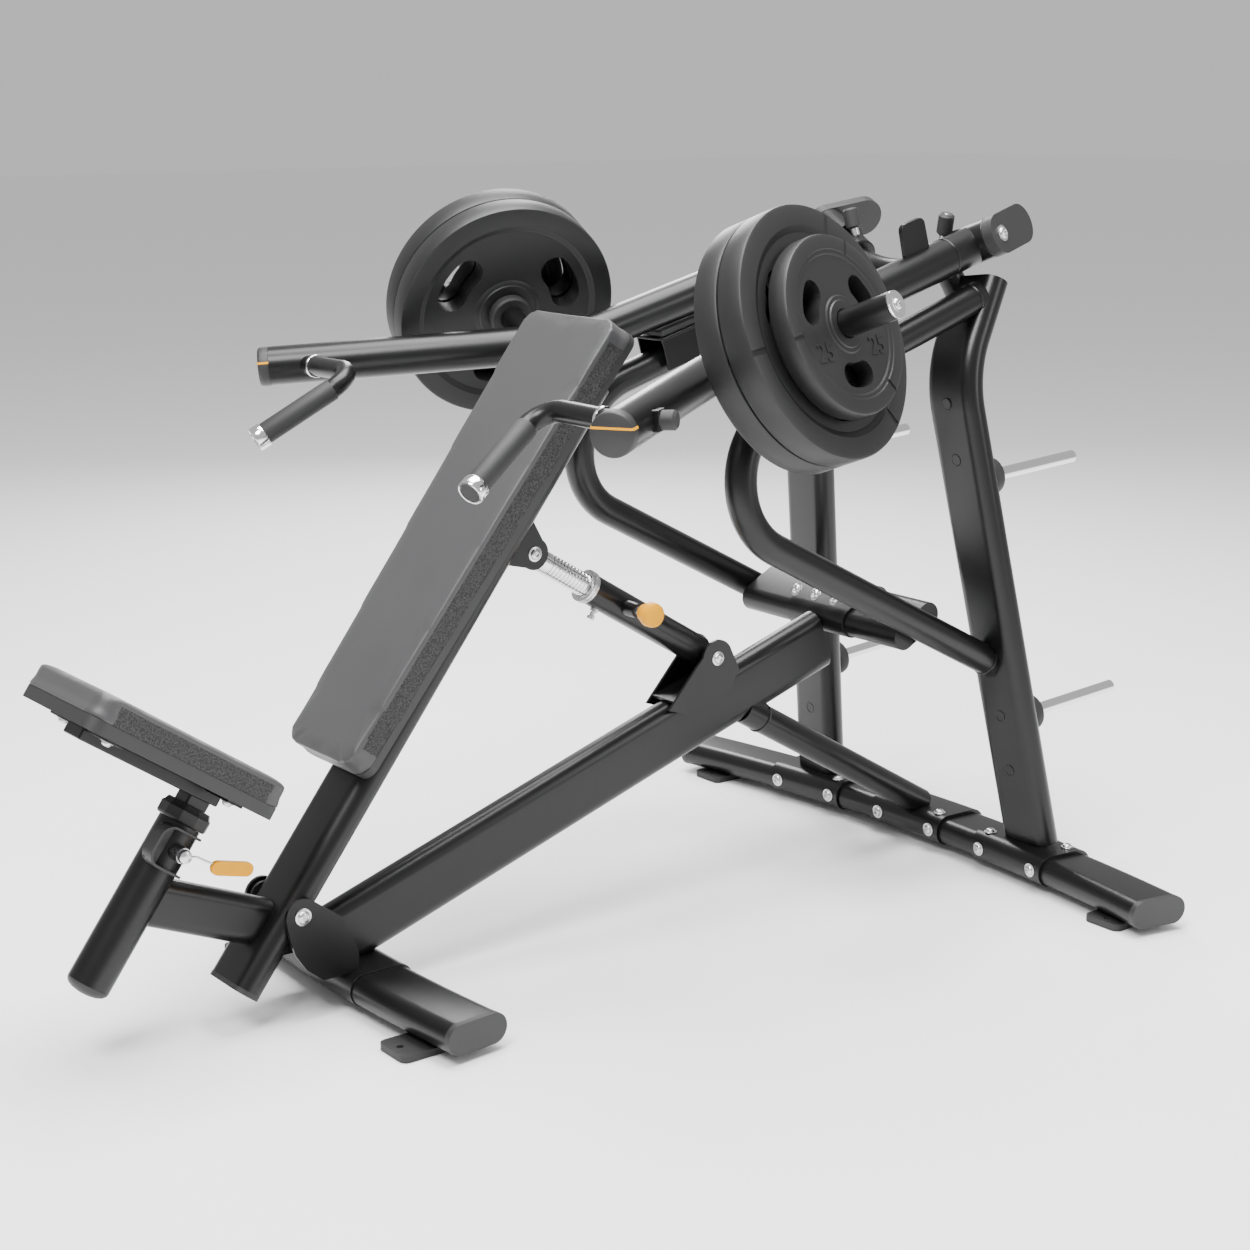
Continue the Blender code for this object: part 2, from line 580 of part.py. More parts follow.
rod("strut_pin", STRUT_LOW + Vector((-0.0440, 0, 0)), STRUT_LOW + Vector((0.0440, 0, 0)), 0.0060, STEEL, 10)
strut_rod = rod("strut_rod", STRUT_LOW + STRUT_RUN * 0.150, STRUT_LOW + STRUT_RUN * 0.490, STRUT_ROD_R,
                CHROME, 16)
rod_eye = rod("rod_eye", STRUT_HIGH + Vector((-0.0280, 0, 0)), STRUT_HIGH + Vector((0.0280, 0, 0)), 0.0200,
              CHROME, 14)
join("strut_rod", CHROME, strut_rod, rod_eye)
knob_profile = [(0, 0.0603), (0.0090, 0.0603), (0.0090, 0.0860), (0.0210, 0.0900), (0.0235, 0.0960),
                (0.0235, 0.1100),
                (0.0200, 0.1150), (0, 0.1160)]
turned("strut_knob", knob_profile, aim(KNOB_AT, (1, 0, 0)), YELLOW, 14)

# Arms
for s, word in SIDES_OF_MACHINE:
    hub, n = side(s, HUB), side(s, PRESS_AXIS)
    end, bend = side(s, ARM_END), side(s, ARM_BEND)
    tube = sweep("arm_" + word, rounded([end, bend, hub], 0.30, 4), FRAME_BLACK, radius=ARM_R)
    bearing = rod("bearing", hub - n * 0.0410, hub + n * 0.0430, 0.0400, FRAME_BLACK)
    rear_run = (hub - bend).normalized()
    front_run = (end - bend).normalized()
    fin_mid = hub - rear_run * 0.168
    fin = box("fin", (0.012, 0.070, 0.090), tilted(fin_mid + Vector((0, 0, 0.058)), radians(15)),
              FRAME_BLACK, bevel=0.004)
    ring = rod("ring", hub - rear_run * 0.092, hub - rear_run * 0.084, 0.0400, FRAME_BLACK)
    handle_root = end - front_run * 0.060
    elbow, tip = side(s, (0.302, 0.225, 1.078)), side(s, (0.3613, 0.0374, 0.9614))
    horn_root = side(s, HORN_Q) - n * 0.160
    horn_tip = side(s, HORN_Q) + n * 0.2480
    horn = rod("horn", horn_root, horn_tip, HORN_R, FRAME_BLACK)
    horn_stop = rod("horn_stop", side(s, HORN_Q) - n * 0.022, side(s, HORN_Q) - n * 0.0006, 0.043,
                    FRAME_BLACK)
    arm = join("arm_" + word, FRAME_BLACK, tube, bearing, fin, ring, horn, horn_stop)
    grip_low = tip - (tip - elbow).normalized() * 0.022
    handle = sweep("handle", rounded([handle_root, elbow, grip_low], 0.045, 5), FRAME_BLACK, radius=0.0195,
                   sides=12)
    grip_end = rod("grip_end", grip_low - (tip - elbow).normalized() * 0.004, tip, 0.0230, CHROME, 12)
    handle = join("handle_" + word, FRAME_BLACK, handle, grip_end)
    cope(handle, tube)
    rod("arm_cap_" + word, end + front_run * GAP, end + front_run * 0.022, ARM_R, PLASTIC, 16, top=0.034)
    cover_plane = aim(hub + n * 0.0545, n)
    local = cover_plane.inverted().to_3x3() @ rear_run
    far = (local.x * 0.088, local.y * 0.088)
    plate("pivot_cover_" + word, round_plate(((0, 0), far), (0.0400, 0.0400), 6), 0.0220, cover_plane,
          PLASTIC)

# Weight plates: two large and one small on each horn
for s, word in SIDES_OF_MACHINE:
    n = side(s, PRESS_AXIS)
    at = 0.0
    for size, radius, thick in (("inner", BIG_R, BIG_THICK), ("outer", BIG_R, BIG_THICK),
                                ("small", SMALL_R, SMALL_THICK)):
        hub_r, rim = 0.30 * radius, 0.80 * radius
        web = thick * 0.22
        profile = [(HORN_BORE, 0), (hub_r, 0), (hub_r + 0.006, web), (rim - 0.006, web), (rim, 0),
                   (radius, 0),
                   (radius, thick), (rim, thick), (rim - 0.006, thick - web), (hub_r + 0.006, thick - web),
                   (hub_r, thick), (HORN_BORE, thick)]
        place = aim(side(s, HORN_Q) + n * (at + GAP), n)
        disc = turned("plate_" + size + "_" + word, profile, place, CAST, 20)
        reach = 0.555 * radius
        for k in range(3):
            angle = radians(-90 + 120 * k)
            spot = Matrix.Rotation(angle, 4, "Z")
            hole = round_plate(((reach, -0.125 * radius), (reach, 0.125 * radius)),
                               (0.13 * radius, 0.13 * radius), 3)
            boolean(disc, plate("grip_hole", hole, 0.2, place @ spot, None, CUTTERS))
        at += thick + GAP
bpy.context.view_layer.update()
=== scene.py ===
"""The visible model of the plate-loaded incline chest press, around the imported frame.

Every piece is set out in the machine's working frame, whose Y starts at the front
foot's centre, and moved by -MIDDLE_Y into the row frame when it is finished.
"""

from math import acos, atan2, cos, pi, radians, sin, tan

import bmesh
import bpy
from mathutils import Matrix, Vector


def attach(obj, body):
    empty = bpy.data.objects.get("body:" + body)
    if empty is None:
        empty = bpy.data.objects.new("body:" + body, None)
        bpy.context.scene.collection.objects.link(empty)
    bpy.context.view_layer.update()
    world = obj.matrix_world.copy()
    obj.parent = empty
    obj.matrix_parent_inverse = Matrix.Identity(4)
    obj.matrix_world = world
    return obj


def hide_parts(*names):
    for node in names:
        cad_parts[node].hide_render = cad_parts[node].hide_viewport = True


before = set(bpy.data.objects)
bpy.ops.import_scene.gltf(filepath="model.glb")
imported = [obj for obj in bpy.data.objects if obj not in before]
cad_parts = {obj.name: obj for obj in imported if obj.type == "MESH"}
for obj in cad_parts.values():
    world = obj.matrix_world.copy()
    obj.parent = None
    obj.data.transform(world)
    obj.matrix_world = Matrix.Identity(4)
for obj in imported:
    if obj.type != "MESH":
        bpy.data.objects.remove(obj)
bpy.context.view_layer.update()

# Sizes shared with the frame, in metres
MIDDLE_Y = 0.5722
FLAT = (0.126, 0.055)
FOOT_HALF, FOOT_BOW = 0.382, 0.133
BASE_HALF, BASE_BOW, BASE_Y = 0.704, -0.137, 1.443
TUBE_Z = 0.044
BEAM_SLOPE = radians(18.1)
BEAM_MID = Vector((0, 0.1285, 0.1687))
PIVOT = Vector((0, -0.138, 0.1985))
BENCH_ANGLE = radians(52.4)
BENCH_FOOT = Vector((0, -0.233, 0.075))
BENCH_LENGTH = 1.24
PAD_ANGLE = radians(52.3)
PAD_FACE = Vector((0, -0.0472, 0.4832))
STRUT_LOW = Vector((0, 0.8206, 0.5032))
STRUT_HIGH = Vector((0, 0.387, 0.767))
POST_LOW, POST_HIGH = Vector((0, -0.505, 0.140)), Vector((0, -0.3235, 0.3875))
POST_R = 0.038
SEAT_MID = Vector((0, -0.340, 0.564))
SEAT_ANGLE = radians(-34.4)
UPRIGHT_LOW, UPRIGHT_BEND, UPRIGHT_TOP = (0.3228, 1.4288, 0.079), (0.2145, 1.266, 1.045), (0.193, 1.352,
                                                                                           1.205)
SIDE_PATH = ((0.270, 1.352, 0.4555), (0.250, 0.471, 0.922), (0.225, 1.322, 1.194))
CROSS = Vector((0, 1.170, 0.553))
CROSS_TILT = radians(-28)
SIDE_R, ARM_R = 0.030, 0.038
ARM_END, ARM_BEND = Vector((0.5604, 0.1817, 1.0699)), Vector((0.2338, 0.6787, 1.1106))
HUB = Vector((0.1987, 1.335, 1.293))
PRESS_AXIS = Vector((0.907, 0.2206, 0.3574)).normalized()
HORN_Q = Vector((0.4145, 0.6445, 1.1546))
HORN_R = 0.0245
BIG_R, BIG_THICK, SMALL_R, SMALL_THICK = 0.225, 0.0522, 0.1585, 0.0404
REST_MID = Vector((0.2290, 0.920, 1.1385))
REST_SLOPE = radians(15.6)
SIDES_OF_MACHINE = ((1, "left"), (-1, "right"))
ROUND = 56

# The camera that sees the machine at the reference angle
CAMERA_AT = Vector((3.3398, -1.9031 - MIDDLE_Y, 1.5868))
AZIMUTH, ELEVATION, ROLL = radians(52.915), radians(13.36), radians(-0.233)
LENS = 64.69


# ---------------------------------------------------------------- materials
class Shader:
    """A Principled material with a small chain of procedural nodes."""

    def __init__(self, name, colour, rough, metal=0.0, coat=0.0, sheen=0.0, specular=0.5):
        self.mat = bpy.data.materials.new(name)
        self.mat.use_nodes = True
        self.tree = self.mat.node_tree
        self.main = self.tree.nodes["Principled BSDF"]
        self.colour = colour
        self.main.inputs["Base Color"].default_value = (*colour, 1)
        self.main.inputs["Roughness"].default_value = rough
        self.main.inputs["Metallic"].default_value = metal
        self.main.inputs["Coat Weight"].default_value = coat
        self.main.inputs["Coat Roughness"].default_value = 0.25
        self.main.inputs["Sheen Weight"].default_value = sheen
        self.main.inputs["Specular IOR Level"].default_value = specular
        self.coords = self.tree.nodes.new("ShaderNodeTexCoord").outputs["Object"]
        self.height = None

    def node(self, kind, **settings):
        made = self.tree.nodes.new(kind)
        for key, value in settings.items():
            setattr(made, key, value)
        return made

    def noise(self, scale, detail=4.0):
        made = self.node("ShaderNodeTexNoise")
        made.inputs["Scale"].default_value = scale
        made.inputs["Detail"].default_value = detail
        self.tree.links.new(self.coords, made.inputs["Vector"])
        return made.outputs["Fac"]

    def cells(self, scale, feature="F1"):
        made = self.node("ShaderNodeTexVoronoi", feature=feature)
        made.inputs["Scale"].default_value = scale
        self.tree.links.new(self.coords, made.inputs["Vector"])
        return made.outputs["Distance"]

    def ramp(self, source, low, high):
        made = self.node("ShaderNodeMapRange")
        made.inputs["To Min"].default_value = low
        made.inputs["To Max"].default_value = high
        self.tree.links.new(source, made.inputs["Value"])
        return made.outputs["Result"]

    def vary_roughness(self, source, low, high):
        self.tree.links.new(self.ramp(source, low, high), self.main.inputs["Roughness"])
        return self

    def vary_colour(self, source, low, high):
        mix = self.node("ShaderNodeMix", data_type="RGBA")
        mix.inputs["A"].default_value = (*low, 1)
        mix.inputs["B"].default_value = (*high, 1)
        self.tree.links.new(source, mix.inputs["Factor"])
        self.tree.links.new(mix.outputs["Result"], self.main.inputs["Base Color"])
        return self

    def bump(self, source, strength, distance):
        made = self.node("ShaderNodeBump")
        made.inputs["Strength"].default_value = strength
        made.inputs["Distance"].default_value = distance
        self.tree.links.new(source, made.inputs["Height"])
        if self.height:
            self.tree.links.new(self.height, made.inputs["Normal"])
        self.height = made.outputs["Normal"]
        self.tree.links.new(self.height, self.main.inputs["Normal"])
        return self


def shade(value, blue=1.04):
    return (value, value, value * blue)


coat = Shader("powder_coat", shade(0.0036), 0.32, specular=0.36)
coat.vary_roughness(coat.noise(9), 0.27, 0.35).vary_colour(coat.noise(4), shade(0.0028), shade(0.0045))
coat.bump(coat.noise(1400, 2), 0.10, 0.0004)
moulded = Shader("moulded_plastic", shade(0.030), 0.52)
moulded.vary_roughness(moulded.noise(14), 0.46, 0.58).vary_colour(moulded.noise(6), shade(0.013),
                                                                  shade(0.018))
moulded.bump(moulded.noise(1100, 3), 0.22, 0.0004)
leather = Shader("leather_face", shade(0.045), 0.46, sheen=0.05)
leather.vary_colour(leather.noise(7), shade(0.034), shade(0.043)).vary_roughness(leather.noise(30), 0.42,
                                                                                 0.52)
leather.bump(leather.cells(620), 0.28, 0.0006).bump(leather.noise(240, 5), 0.15, 0.0006)
grain = Shader("leather_side", shade(0.014), 0.62)
grain.vary_colour(grain.ramp(grain.noise(330, 2), -2.0, 3.0), shade(0.001),
                  shade(0.026)).vary_roughness(grain.noise(200), 0.5, 0.75)
grain.bump(grain.noise(330, 2), 0.9, 0.0022)
rubber = Shader("rubber", shade(0.014), 0.62)
rubber.vary_roughness(rubber.noise(20), 0.55, 0.70).vary_colour(rubber.noise(8), shade(0.012), shade(0.017))
rubber.bump(rubber.noise(700, 3), 0.2, 0.0004)
cast = Shader("plate_coat", shade(0.014), 0.42, specular=0.42)
cast.vary_roughness(cast.noise(18), 0.39, 0.50).vary_colour(cast.noise(5), shade(0.008), shade(0.012))
cast.bump(cast.noise(900, 3), 0.22, 0.0005)
chrome = Shader("chrome", (0.80, 0.80, 0.81), 0.13, metal=1.0)
chrome.vary_roughness(chrome.noise(40), 0.09, 0.18).bump(chrome.noise(500, 2), 0.02, 0.0002)
zinc = Shader("zinc_steel", (0.66, 0.66, 0.67), 0.28, metal=1.0)
zinc.vary_roughness(zinc.noise(160), 0.22, 0.36).vary_colour(zinc.noise(60), (0.60, 0.60, 0.61),
                                                             (0.72, 0.72, 0.73))
zinc.bump(zinc.noise(900, 2), 0.06, 0.0002)
yellow = Shader("yellow_plastic", (0.90, 0.42, 0.0), 0.42, specular=0.12)
yellow.vary_colour(yellow.noise(50), (0.72, 0.31, 0.0), (0.80, 0.35, 0.0)).vary_roughness(yellow.noise(60),
                                                                                          0.34, 0.44)
yellow.bump(yellow.noise(600, 2), 0.08, 0.0003)
dark_disc = Shader("dark_inset", shade(0.018), 0.5)
dark_disc.vary_roughness(dark_disc.noise(40), 0.45, 0.58).bump(dark_disc.noise(900), 0.1, 0.0003)
FINISH = {"frame_black": coat, "black_plastic": moulded, "leather": leather, "rubber": rubber,
          "plate_black": cast, "chrome": chrome, "bolt_steel": zinc, "yellow": yellow}


# ---------------------------------------------------------------- shape tools
def outline_curve(name, outlines):
    data = bpy.data.curves.new(name, "CURVE")
    data.dimensions = "2D"
    for points in outlines:
        spline = data.splines.new("POLY")
        spline.points.add(len(points) - 1)
        for point, (x, y) in zip(spline.points, points):
            point.co = (x, y, 0, 1)
        spline.use_cyclic_u = True
    return data


def flat_outline(wide, thick, arc=20):
    r = thick / 2
    half = wide / 2 - r
    points = [(half + r * sin(pi * i / arc), -r * cos(pi * i / arc)) for i in range(arc + 1)]
    return points + [(-x, -y) for x, y in points]


def rounded(points, radius, steps=16):
    """A path with each inner corner replaced by an arc of this radius."""
    points = [Vector(p) for p in points]
    path = [points[0]]
    for before, corner, after in zip(points, points[1:], points[2:]):
        a, b = (before - corner).normalized(), (after - corner).normalized()
        half = a.angle(b) / 2
        centre = corner + (a + b).normalized() * radius / sin(half)
        start = (corner + a * radius / tan(half) - centre).normalized()
        end = (corner + b * radius / tan(half) - centre).normalized()
        turn = start.angle(end)
        for i in range(steps + 1):
            share = i / steps
            arm = start * sin((1 - share) * turn) + end * sin(share * turn)
            path.append(centre + arm * radius / sin(turn))
    return path + [points[-1]]


def take_mesh(name, obj):
    """The evaluated mesh of a helper object, which is then removed."""
    mesh = bpy.data.meshes.new_from_object(obj.evaluated_get(bpy.context.evaluated_depsgraph_get()))
    bpy.data.objects.remove(obj, do_unlink=True)
    bm = bmesh.new()
    bm.from_mesh(mesh)
    bpy.data.meshes.remove(mesh)
    bmesh.ops.remove_doubles(bm, verts=bm.verts, dist=0.00001)
    return solid(name, bm)


def solid(name, bm, matrix=None):
    bmesh.ops.recalc_face_normals(bm, faces=bm.faces)
    mesh = bpy.data.meshes.new(name)
    bm.to_mesh(mesh)
    bm.free()
    obj = bpy.data.objects.new(name, mesh)
    bpy.context.scene.collection.objects.link(obj)
    if matrix:
        mesh.transform(matrix)
    return obj


def curve_solid(name, data):
    obj = bpy.data.objects.new(name + "_curve", data)
    bpy.context.scene.collection.objects.link(obj)
    return take_mesh(name, obj)


def sweep(name, path, radius=None, flat=None, tilt=0.0, sides=ROUND, upright=False):
    data = bpy.data.curves.new(name, "CURVE")
    data.dimensions = "3D"
    data.twist_mode = "Z_UP" if flat and not upright else "MINIMUM"
    data.use_fill_caps = True
    section = None
    if flat:
        section = bpy.data.objects.new(name + "_section", outline_curve("section", [flat_outline(*flat)]))
        bpy.context.scene.collection.objects.link(section)
        data.bevel_mode = "OBJECT"
        data.bevel_object = section
    else:
        data.bevel_depth = radius
        data.bevel_resolution = sides // 2 - 2
    spline = data.splines.new("POLY")
    spline.points.add(len(path) - 1)
    for point, co in zip(spline.points, path):
        point.co = (*co, 1)
        point.tilt = tilt
    obj = curve_solid(name, data)
    if section:
        bpy.data.objects.remove(section, do_unlink=True)
    return obj


def slab(name, points, thick, matrix, holes=()):
    data = outline_curve(name, [points, *holes])
    data.fill_mode = "BOTH"
    data.extrude = thick / 2
    obj = curve_solid(name, data)
    obj.data.transform(matrix)
    return obj


def block(name, size, matrix):
    bm = bmesh.new()
    bmesh.ops.create_cube(bm, size=1.0, matrix=Matrix.Diagonal((*size, 1.0)))
    return solid(name, bm, matrix)


def aim(start, direction):
    turn = Vector(direction).to_track_quat("Z", "Y").to_matrix().to_4x4()
    return Matrix.Translation(start) @ turn


def turned(name, profile, matrix, sides=ROUND):
    """An open profile of (radius, height) that starts and ends on the axis, turned about local Z."""
    bm = bmesh.new()
    rings = []
    for r, z in profile:
        if r == 0:
            rings.append([bm.verts.new((0, 0, z))])
        else:
            rings.append([bm.verts.new((r * cos(2 * pi * i / sides), r * sin(2 * pi * i / sides), z))
                          for i in range(sides)])
    pairs = list(zip(rings, rings[1:]))
    if profile[0][0] and profile[-1][0]:
        pairs.append((rings[-1], rings[0]))
    for low, high in pairs:
        for i in range(sides):
            j = (i + 1) % sides
            corners = [low[i % len(low)], low[j % len(low)], high[j % len(high)], high[i % len(high)]]
            bm.faces.new(list(dict.fromkeys(corners)))
    return solid(name, bm, matrix)


def rod(name, start, end, radius, edge=0.0012, sides=ROUND):
    start, end = Vector(start), Vector(end)
    length = (end - start).length
    profile = [(0, 0), (radius - edge, 0), (radius, edge), (radius, length - edge), (radius - edge, length),
               (0, length)]
    return turned(name, profile, aim(start, end - start), sides)


def side(s, v):
    return Vector((s * v[0], v[1], v[2]))


def round_plate(centres, radii, arc=20):
    """The outline round two circles, in local XY."""
    (x1, y1), (x2, y2) = centres
    r1, r2 = radii
    run = Vector((x2 - x1, y2 - y1))
    base = atan2(run.y, run.x)
    spread = acos((r1 - r2) / run.length)
    first = [base + spread + (2 * pi - 2 * spread) * i / arc for i in range(arc + 1)]
    second = [base - spread + 2 * spread * i / arc for i in range(arc + 1)]
    return ([(x1 + r1 * cos(t), y1 + r1 * sin(t)) for t in first]
            + [(x2 + r2 * cos(t), y2 + r2 * sin(t)) for t in second])


def circle(x, y, r, count=28):
    return [(x + r * cos(2 * pi * i / count), y + r * sin(2 * pi * i / count)) for i in range(count)]


def side_arc(centre, radius, start, span, steps):
    """Points of an arc about a centre, seen from the side as (y, z)."""
    angles = [start + radians(span * i / steps) for i in range(steps + 1)]
    return [(centre.y + radius * cos(t), centre.z + radius * sin(t)) for t in angles]


def side_plane(x):
    return Matrix(((0, 0, 1, x), (1, 0, 0, 0), (0, 1, 0, 0), (0, 0, 0, 1)))


def along(start, angle, run, drop=0.0):
    return start + Vector((0, cos(angle) * run + sin(angle) * drop, sin(angle) * run - cos(angle) * drop))


def tilted(point, angle):
    return Matrix.Translation(point) @ Matrix.Rotation(angle, 4, "X")


def arc_path(half, bow, y, z=TUBE_Z, start=None, steps=28):
    start = -half if start is None else start
    xs = [start + (half - start) * i / steps for i in range(steps + 1)]
    return [(x, y + bow * x * x, z) for x in xs]


def arc_place(x, bow, y, z):
    return Matrix.Translation((x, y + bow * x * x, z)) @ Matrix.Rotation(atan2(2 * bow * x, 1), 4, "Z")


def finish(obj, body, slot, *replaced, edge=0.0, material=None, smooth=35):
    """Moves a made piece into the row frame and gives it its body, its slot's material and soft edges."""
    obj.data.transform(Matrix.Translation((0, -MIDDLE_Y, 0)))
    obj.data.shade_smooth()
    obj.data.set_sharp_from_angle(angle=radians(smooth))
    obj.data.materials.clear()
    obj.data.materials.append((material or FINISH[slot]).mat)
    if edge:
        bevel = obj.modifiers.new("edge", "BEVEL")
        bevel.width = edge
        bevel.segments = 3
        bevel.limit_method = "ANGLE"
        bevel.angle_limit = radians(40)
        bevel.harden_normals = True
    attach(obj, body)
    if replaced:
        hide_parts(*replaced)
    return obj


def bolt(name, seat, direction, body, radius=0.0105):
    """A domed socket bolt on a washer."""
    direction = Vector(direction).normalized()
    r = radius
    place = aim(Vector(seat), direction)
    washer = turned(name + "_washer", [(r * 0.5, 0), (r * 1.32, 0), (r * 1.36, 0.0006), (r * 1.36, 0.0016),
                                       (r * 1.3, 0.0020), (r * 0.5, 0.0020)], place, 40)
    finish(washer, body, "bolt_steel")
    arc = [(r * cos(t), 0.0024 + 0.0062 * sin(t)) for t in [radians(8 + 52 * i / 7) for i in range(8)]]
    profile = [(0, 0.0018), (r * 0.99, 0.0018)] + arc + [(r * 0.46, 0.0078), (r * 0.43, 0.0040),
                                                         (0, 0.0036)]
    head = turned(name + "_head", profile, place, 40)
    finish(head, body, "bolt_steel")


def weld_bead(name, centre, axis, radius, body, size=0.0028):
    """The thin ring of weld where one tube meets another."""
    ring = [(radius + size * 0.8 * cos(t), size * sin(t)) for t in [2 * pi * i / 10 for i in range(10)]]
    finish(turned(name, ring, aim(centre, axis), ROUND), body, "frame_black")


# ---------------------------------------------------------------- bases and frame
def base(name, half, bow, y, pad_x, pad_front, pad_back):
    finish(sweep(name + "_tube", arc_path(half - 0.001, bow, y), flat=FLAT), "root", "frame_black", name)
    for s, word in SIDES_OF_MACHINE:
        path = [side(s, p) for p in arc_path(half + 0.0006, bow, y, start=half - 0.012, steps=3)]
        finish(sweep(name + "_cap_" + word, path, flat=(FLAT[0] + 0.0008, FLAT[1] + 0.0008)), "root",
               "black_plastic", edge=0.0014)
        short = name.split("_")[0]
        mid_y, half_y = (pad_front + pad_back) / 2, (pad_back - pad_front) / 2
        corner = 0.014
        points = []
        for k, (cx, cy) in enumerate(((1, 1), (-1, 1), (-1, -1), (1, -1))):
            ox, oy = cx * (0.0425 - corner), cy * (half_y - corner)
            points += [(ox + corner * cos(k * pi / 2 + t * pi / 12),
                        oy + corner * sin(k * pi / 2 + t * pi / 12))
                       for t in range(7)]
        hole = circle(0, -half_y + 0.020, 0.0062)
        place = Matrix.Translation((s * pad_x, mid_y, 0.0073))
        finish(slab(short + "_floor_pad_" + word, points, 0.0130, place, [hole]), "root", "rubber",
               short + "_pad_" + word, edge=0.0012)


base("front_foot", FOOT_HALF, FOOT_BOW, 0.0, 0.285, -0.095, 0.045)
base("rear_base", BASE_HALF, BASE_BOW, BASE_Y, 0.608, 1.318, 1.456)

SADDLE_X, SADDLE_HALF, SADDLE_BOLT_X = 0.317, 0.106, 0.0795
for s, word in ((0, "middle"), *SIDES_OF_MACHINE):
    xs = [s * SADDLE_X + SADDLE_HALF * i / 8 for i in range(-8, 9)]
    path = [(x, BASE_Y + BASE_BOW * x * x, TUBE_Z + 0.002) for x in xs]
    finish(sweep("saddle_sleeve_" + word, path, flat=(0.1370, 0.0645)), "root", "frame_black",
           "saddle_" + word, edge=0.0015)
    for dx in (-SADDLE_BOLT_X, SADDLE_BOLT_X):
        x = s * SADDLE_X + dx
        place = arc_place(x, BASE_BOW, BASE_Y, TUBE_Z)
        out = place.to_3x3() @ Vector((0, -1, 0))
        bolt(f"saddle_bolt_{word}_{dx > 0:d}", place @ Vector((0, -0.0682, 0.003)), out, "root")
        top = place @ Vector((0, -0.036 if s == 0 or dx * s < 0 else 0.030, 0.0342))
        bolt(f"saddle_top_bolt_{word}_{dx > 0:d}", top, (0, 0, 1), "root", 0.0095)

beam = sweep("beam_tube", [along(BEAM_MID, BEAM_SLOPE, run) for run in (-0.172, 0.4, 1.040)], flat=FLAT,
             tilt=pi / 2)
finish(beam, "root", "frame_black", "main_beam", edge=0.0015)
finish(sweep("brace_tube", [(0, 0.915, 0.378), (0, 1.425, 0.079)], radius=0.0295), "root", "frame_black",
       "rear_brace")
brace_run = Vector((0, 1.443 - 0.925, 0.0689 - 0.372)).normalized()
weld_bead("brace_weld_high", (0, 0.962, 0.3500), brace_run, 0.0295, "root")

for s, word in SIDES_OF_MACHINE:
    low, bend, top = (Vector(side(s, p)) for p in (UPRIGHT_LOW, UPRIGHT_BEND, UPRIGHT_TOP))
    top += (top - bend) * 0.09
    lean = atan2(bend.x - low.x, bend.z - low.z)
    turn = Matrix.Rotation(lean, 4, "Y")
    path = rounded([turn.inverted() @ (p - low) for p in (low, bend, top)], 0.22)
    path = [Vector((0, p.y, p.z)) for p in path]
    upright = sweep("upright_tube_" + word, path, flat=FLAT, upright=True)
    upright.data.transform(Matrix.Translation(low) @ turn)
    finish(upright, "root", "frame_black", "upright_" + word, edge=0.0012)
    front = (bend - low).cross(Vector((s, 0, 0))).normalized() * s
    if front.y > 0:
        front = -front
    for share in (0.165, 0.285, 0.83, 0.945):
        spot = low.lerp(bend, share) + front * 0.0273
        ring = [(0, 0), (0.0122, 0), (0.0122, 0.0007), (0.0114, 0.0011), (0.0106, 0.0003), (0, 0.0003)]
        finish(turned(f"upright_plug_{word}_{share:.2f}".replace(".", "_"), ring, aim(spot, front), 36),
               "root", "frame_black")

    tube = sweep("bend_tube_" + word, rounded([side(s, p) for p in SIDE_PATH], 0.145, 26), radius=SIDE_R)
    finish(tube, "root", "frame_black", "side_tube_" + word)
    low_end, corner, high_end = (side(s, p) for p in SIDE_PATH)
    weld_bead("bend_weld_low_" + word, low_end + (corner - low_end).normalized() * 0.026, corner - low_end,
              SIDE_R, "root")
    weld_bead("bend_weld_high_" + word, high_end + (corner - high_end).normalized() * 0.020,
              corner - high_end, SIDE_R, "root")

finish(sweep("cross_tube", [(-0.233, *CROSS.yz), (0.233, *CROSS.yz)], flat=FLAT, tilt=-CROSS_TILT), "root",
       "frame_black", "crossmember")
cross_place = tilted(CROSS, CROSS_TILT)
sleeve_path = [cross_place @ Vector((x, 0, 0.002)) for x in (-0.085, 0.0, 0.085)]
finish(sweep("cross_sleeve", sleeve_path, flat=(0.1370, 0.0640), tilt=-CROSS_TILT), "root", "frame_black",
       edge=0.0015)
cross_out = cross_place.to_3x3() @ Vector((0, -1, 0))
for k, x in enumerate((-0.058, 0.0, 0.058)):
    bolt(f"cross_bolt_{k}", cross_place @ Vector((x, -0.0682, 0.002)), cross_out, "root")

for s, word in SIDES_OF_MACHINE:
    n, hub = side(s, PRESS_AXIS), side(s, HUB)
    finish(rod("pivot_housing_" + word, hub - n * 0.1085, hub - n * 0.053, 0.0345, 0.003), "root",
           "frame_black", "pivot_block_" + word)
    finish(rod("pivot_neck_" + word, side(s, (0.128, 1.318, 1.262)), side(s, (0.150, 1.345, 1.190)), 0.026),
           "root", "frame_black")
    low, high = side(s, (0.122, 1.3215, 1.280)), side(s, (0.141, 1.314, 1.350))
    run = (high - low).normalized()
    finish(rod("stop_stem_" + word, low, low.lerp(high, 0.55), 0.009), "root", "bolt_steel")
    finish(rod("stop_knob_" + word, low.lerp(high, 0.42), high, 0.0160, 0.004), "root", "rubber")
    finish(rod("stop_stud_" + word, high - run * 0.002, high + run * 0.0006, 0.0050), "root", "bolt_steel")

top_xs = [-0.110 + 0.220 * i / 30 for i in range(31)]
top_path = [(x, 1.3080, 1.2555 - 0.026 * cos(pi * x / 0.26)) for x in top_xs]
finish(sweep("top_tube", top_path, radius=0.0265), "root", "frame_black", "top_cross_tube")

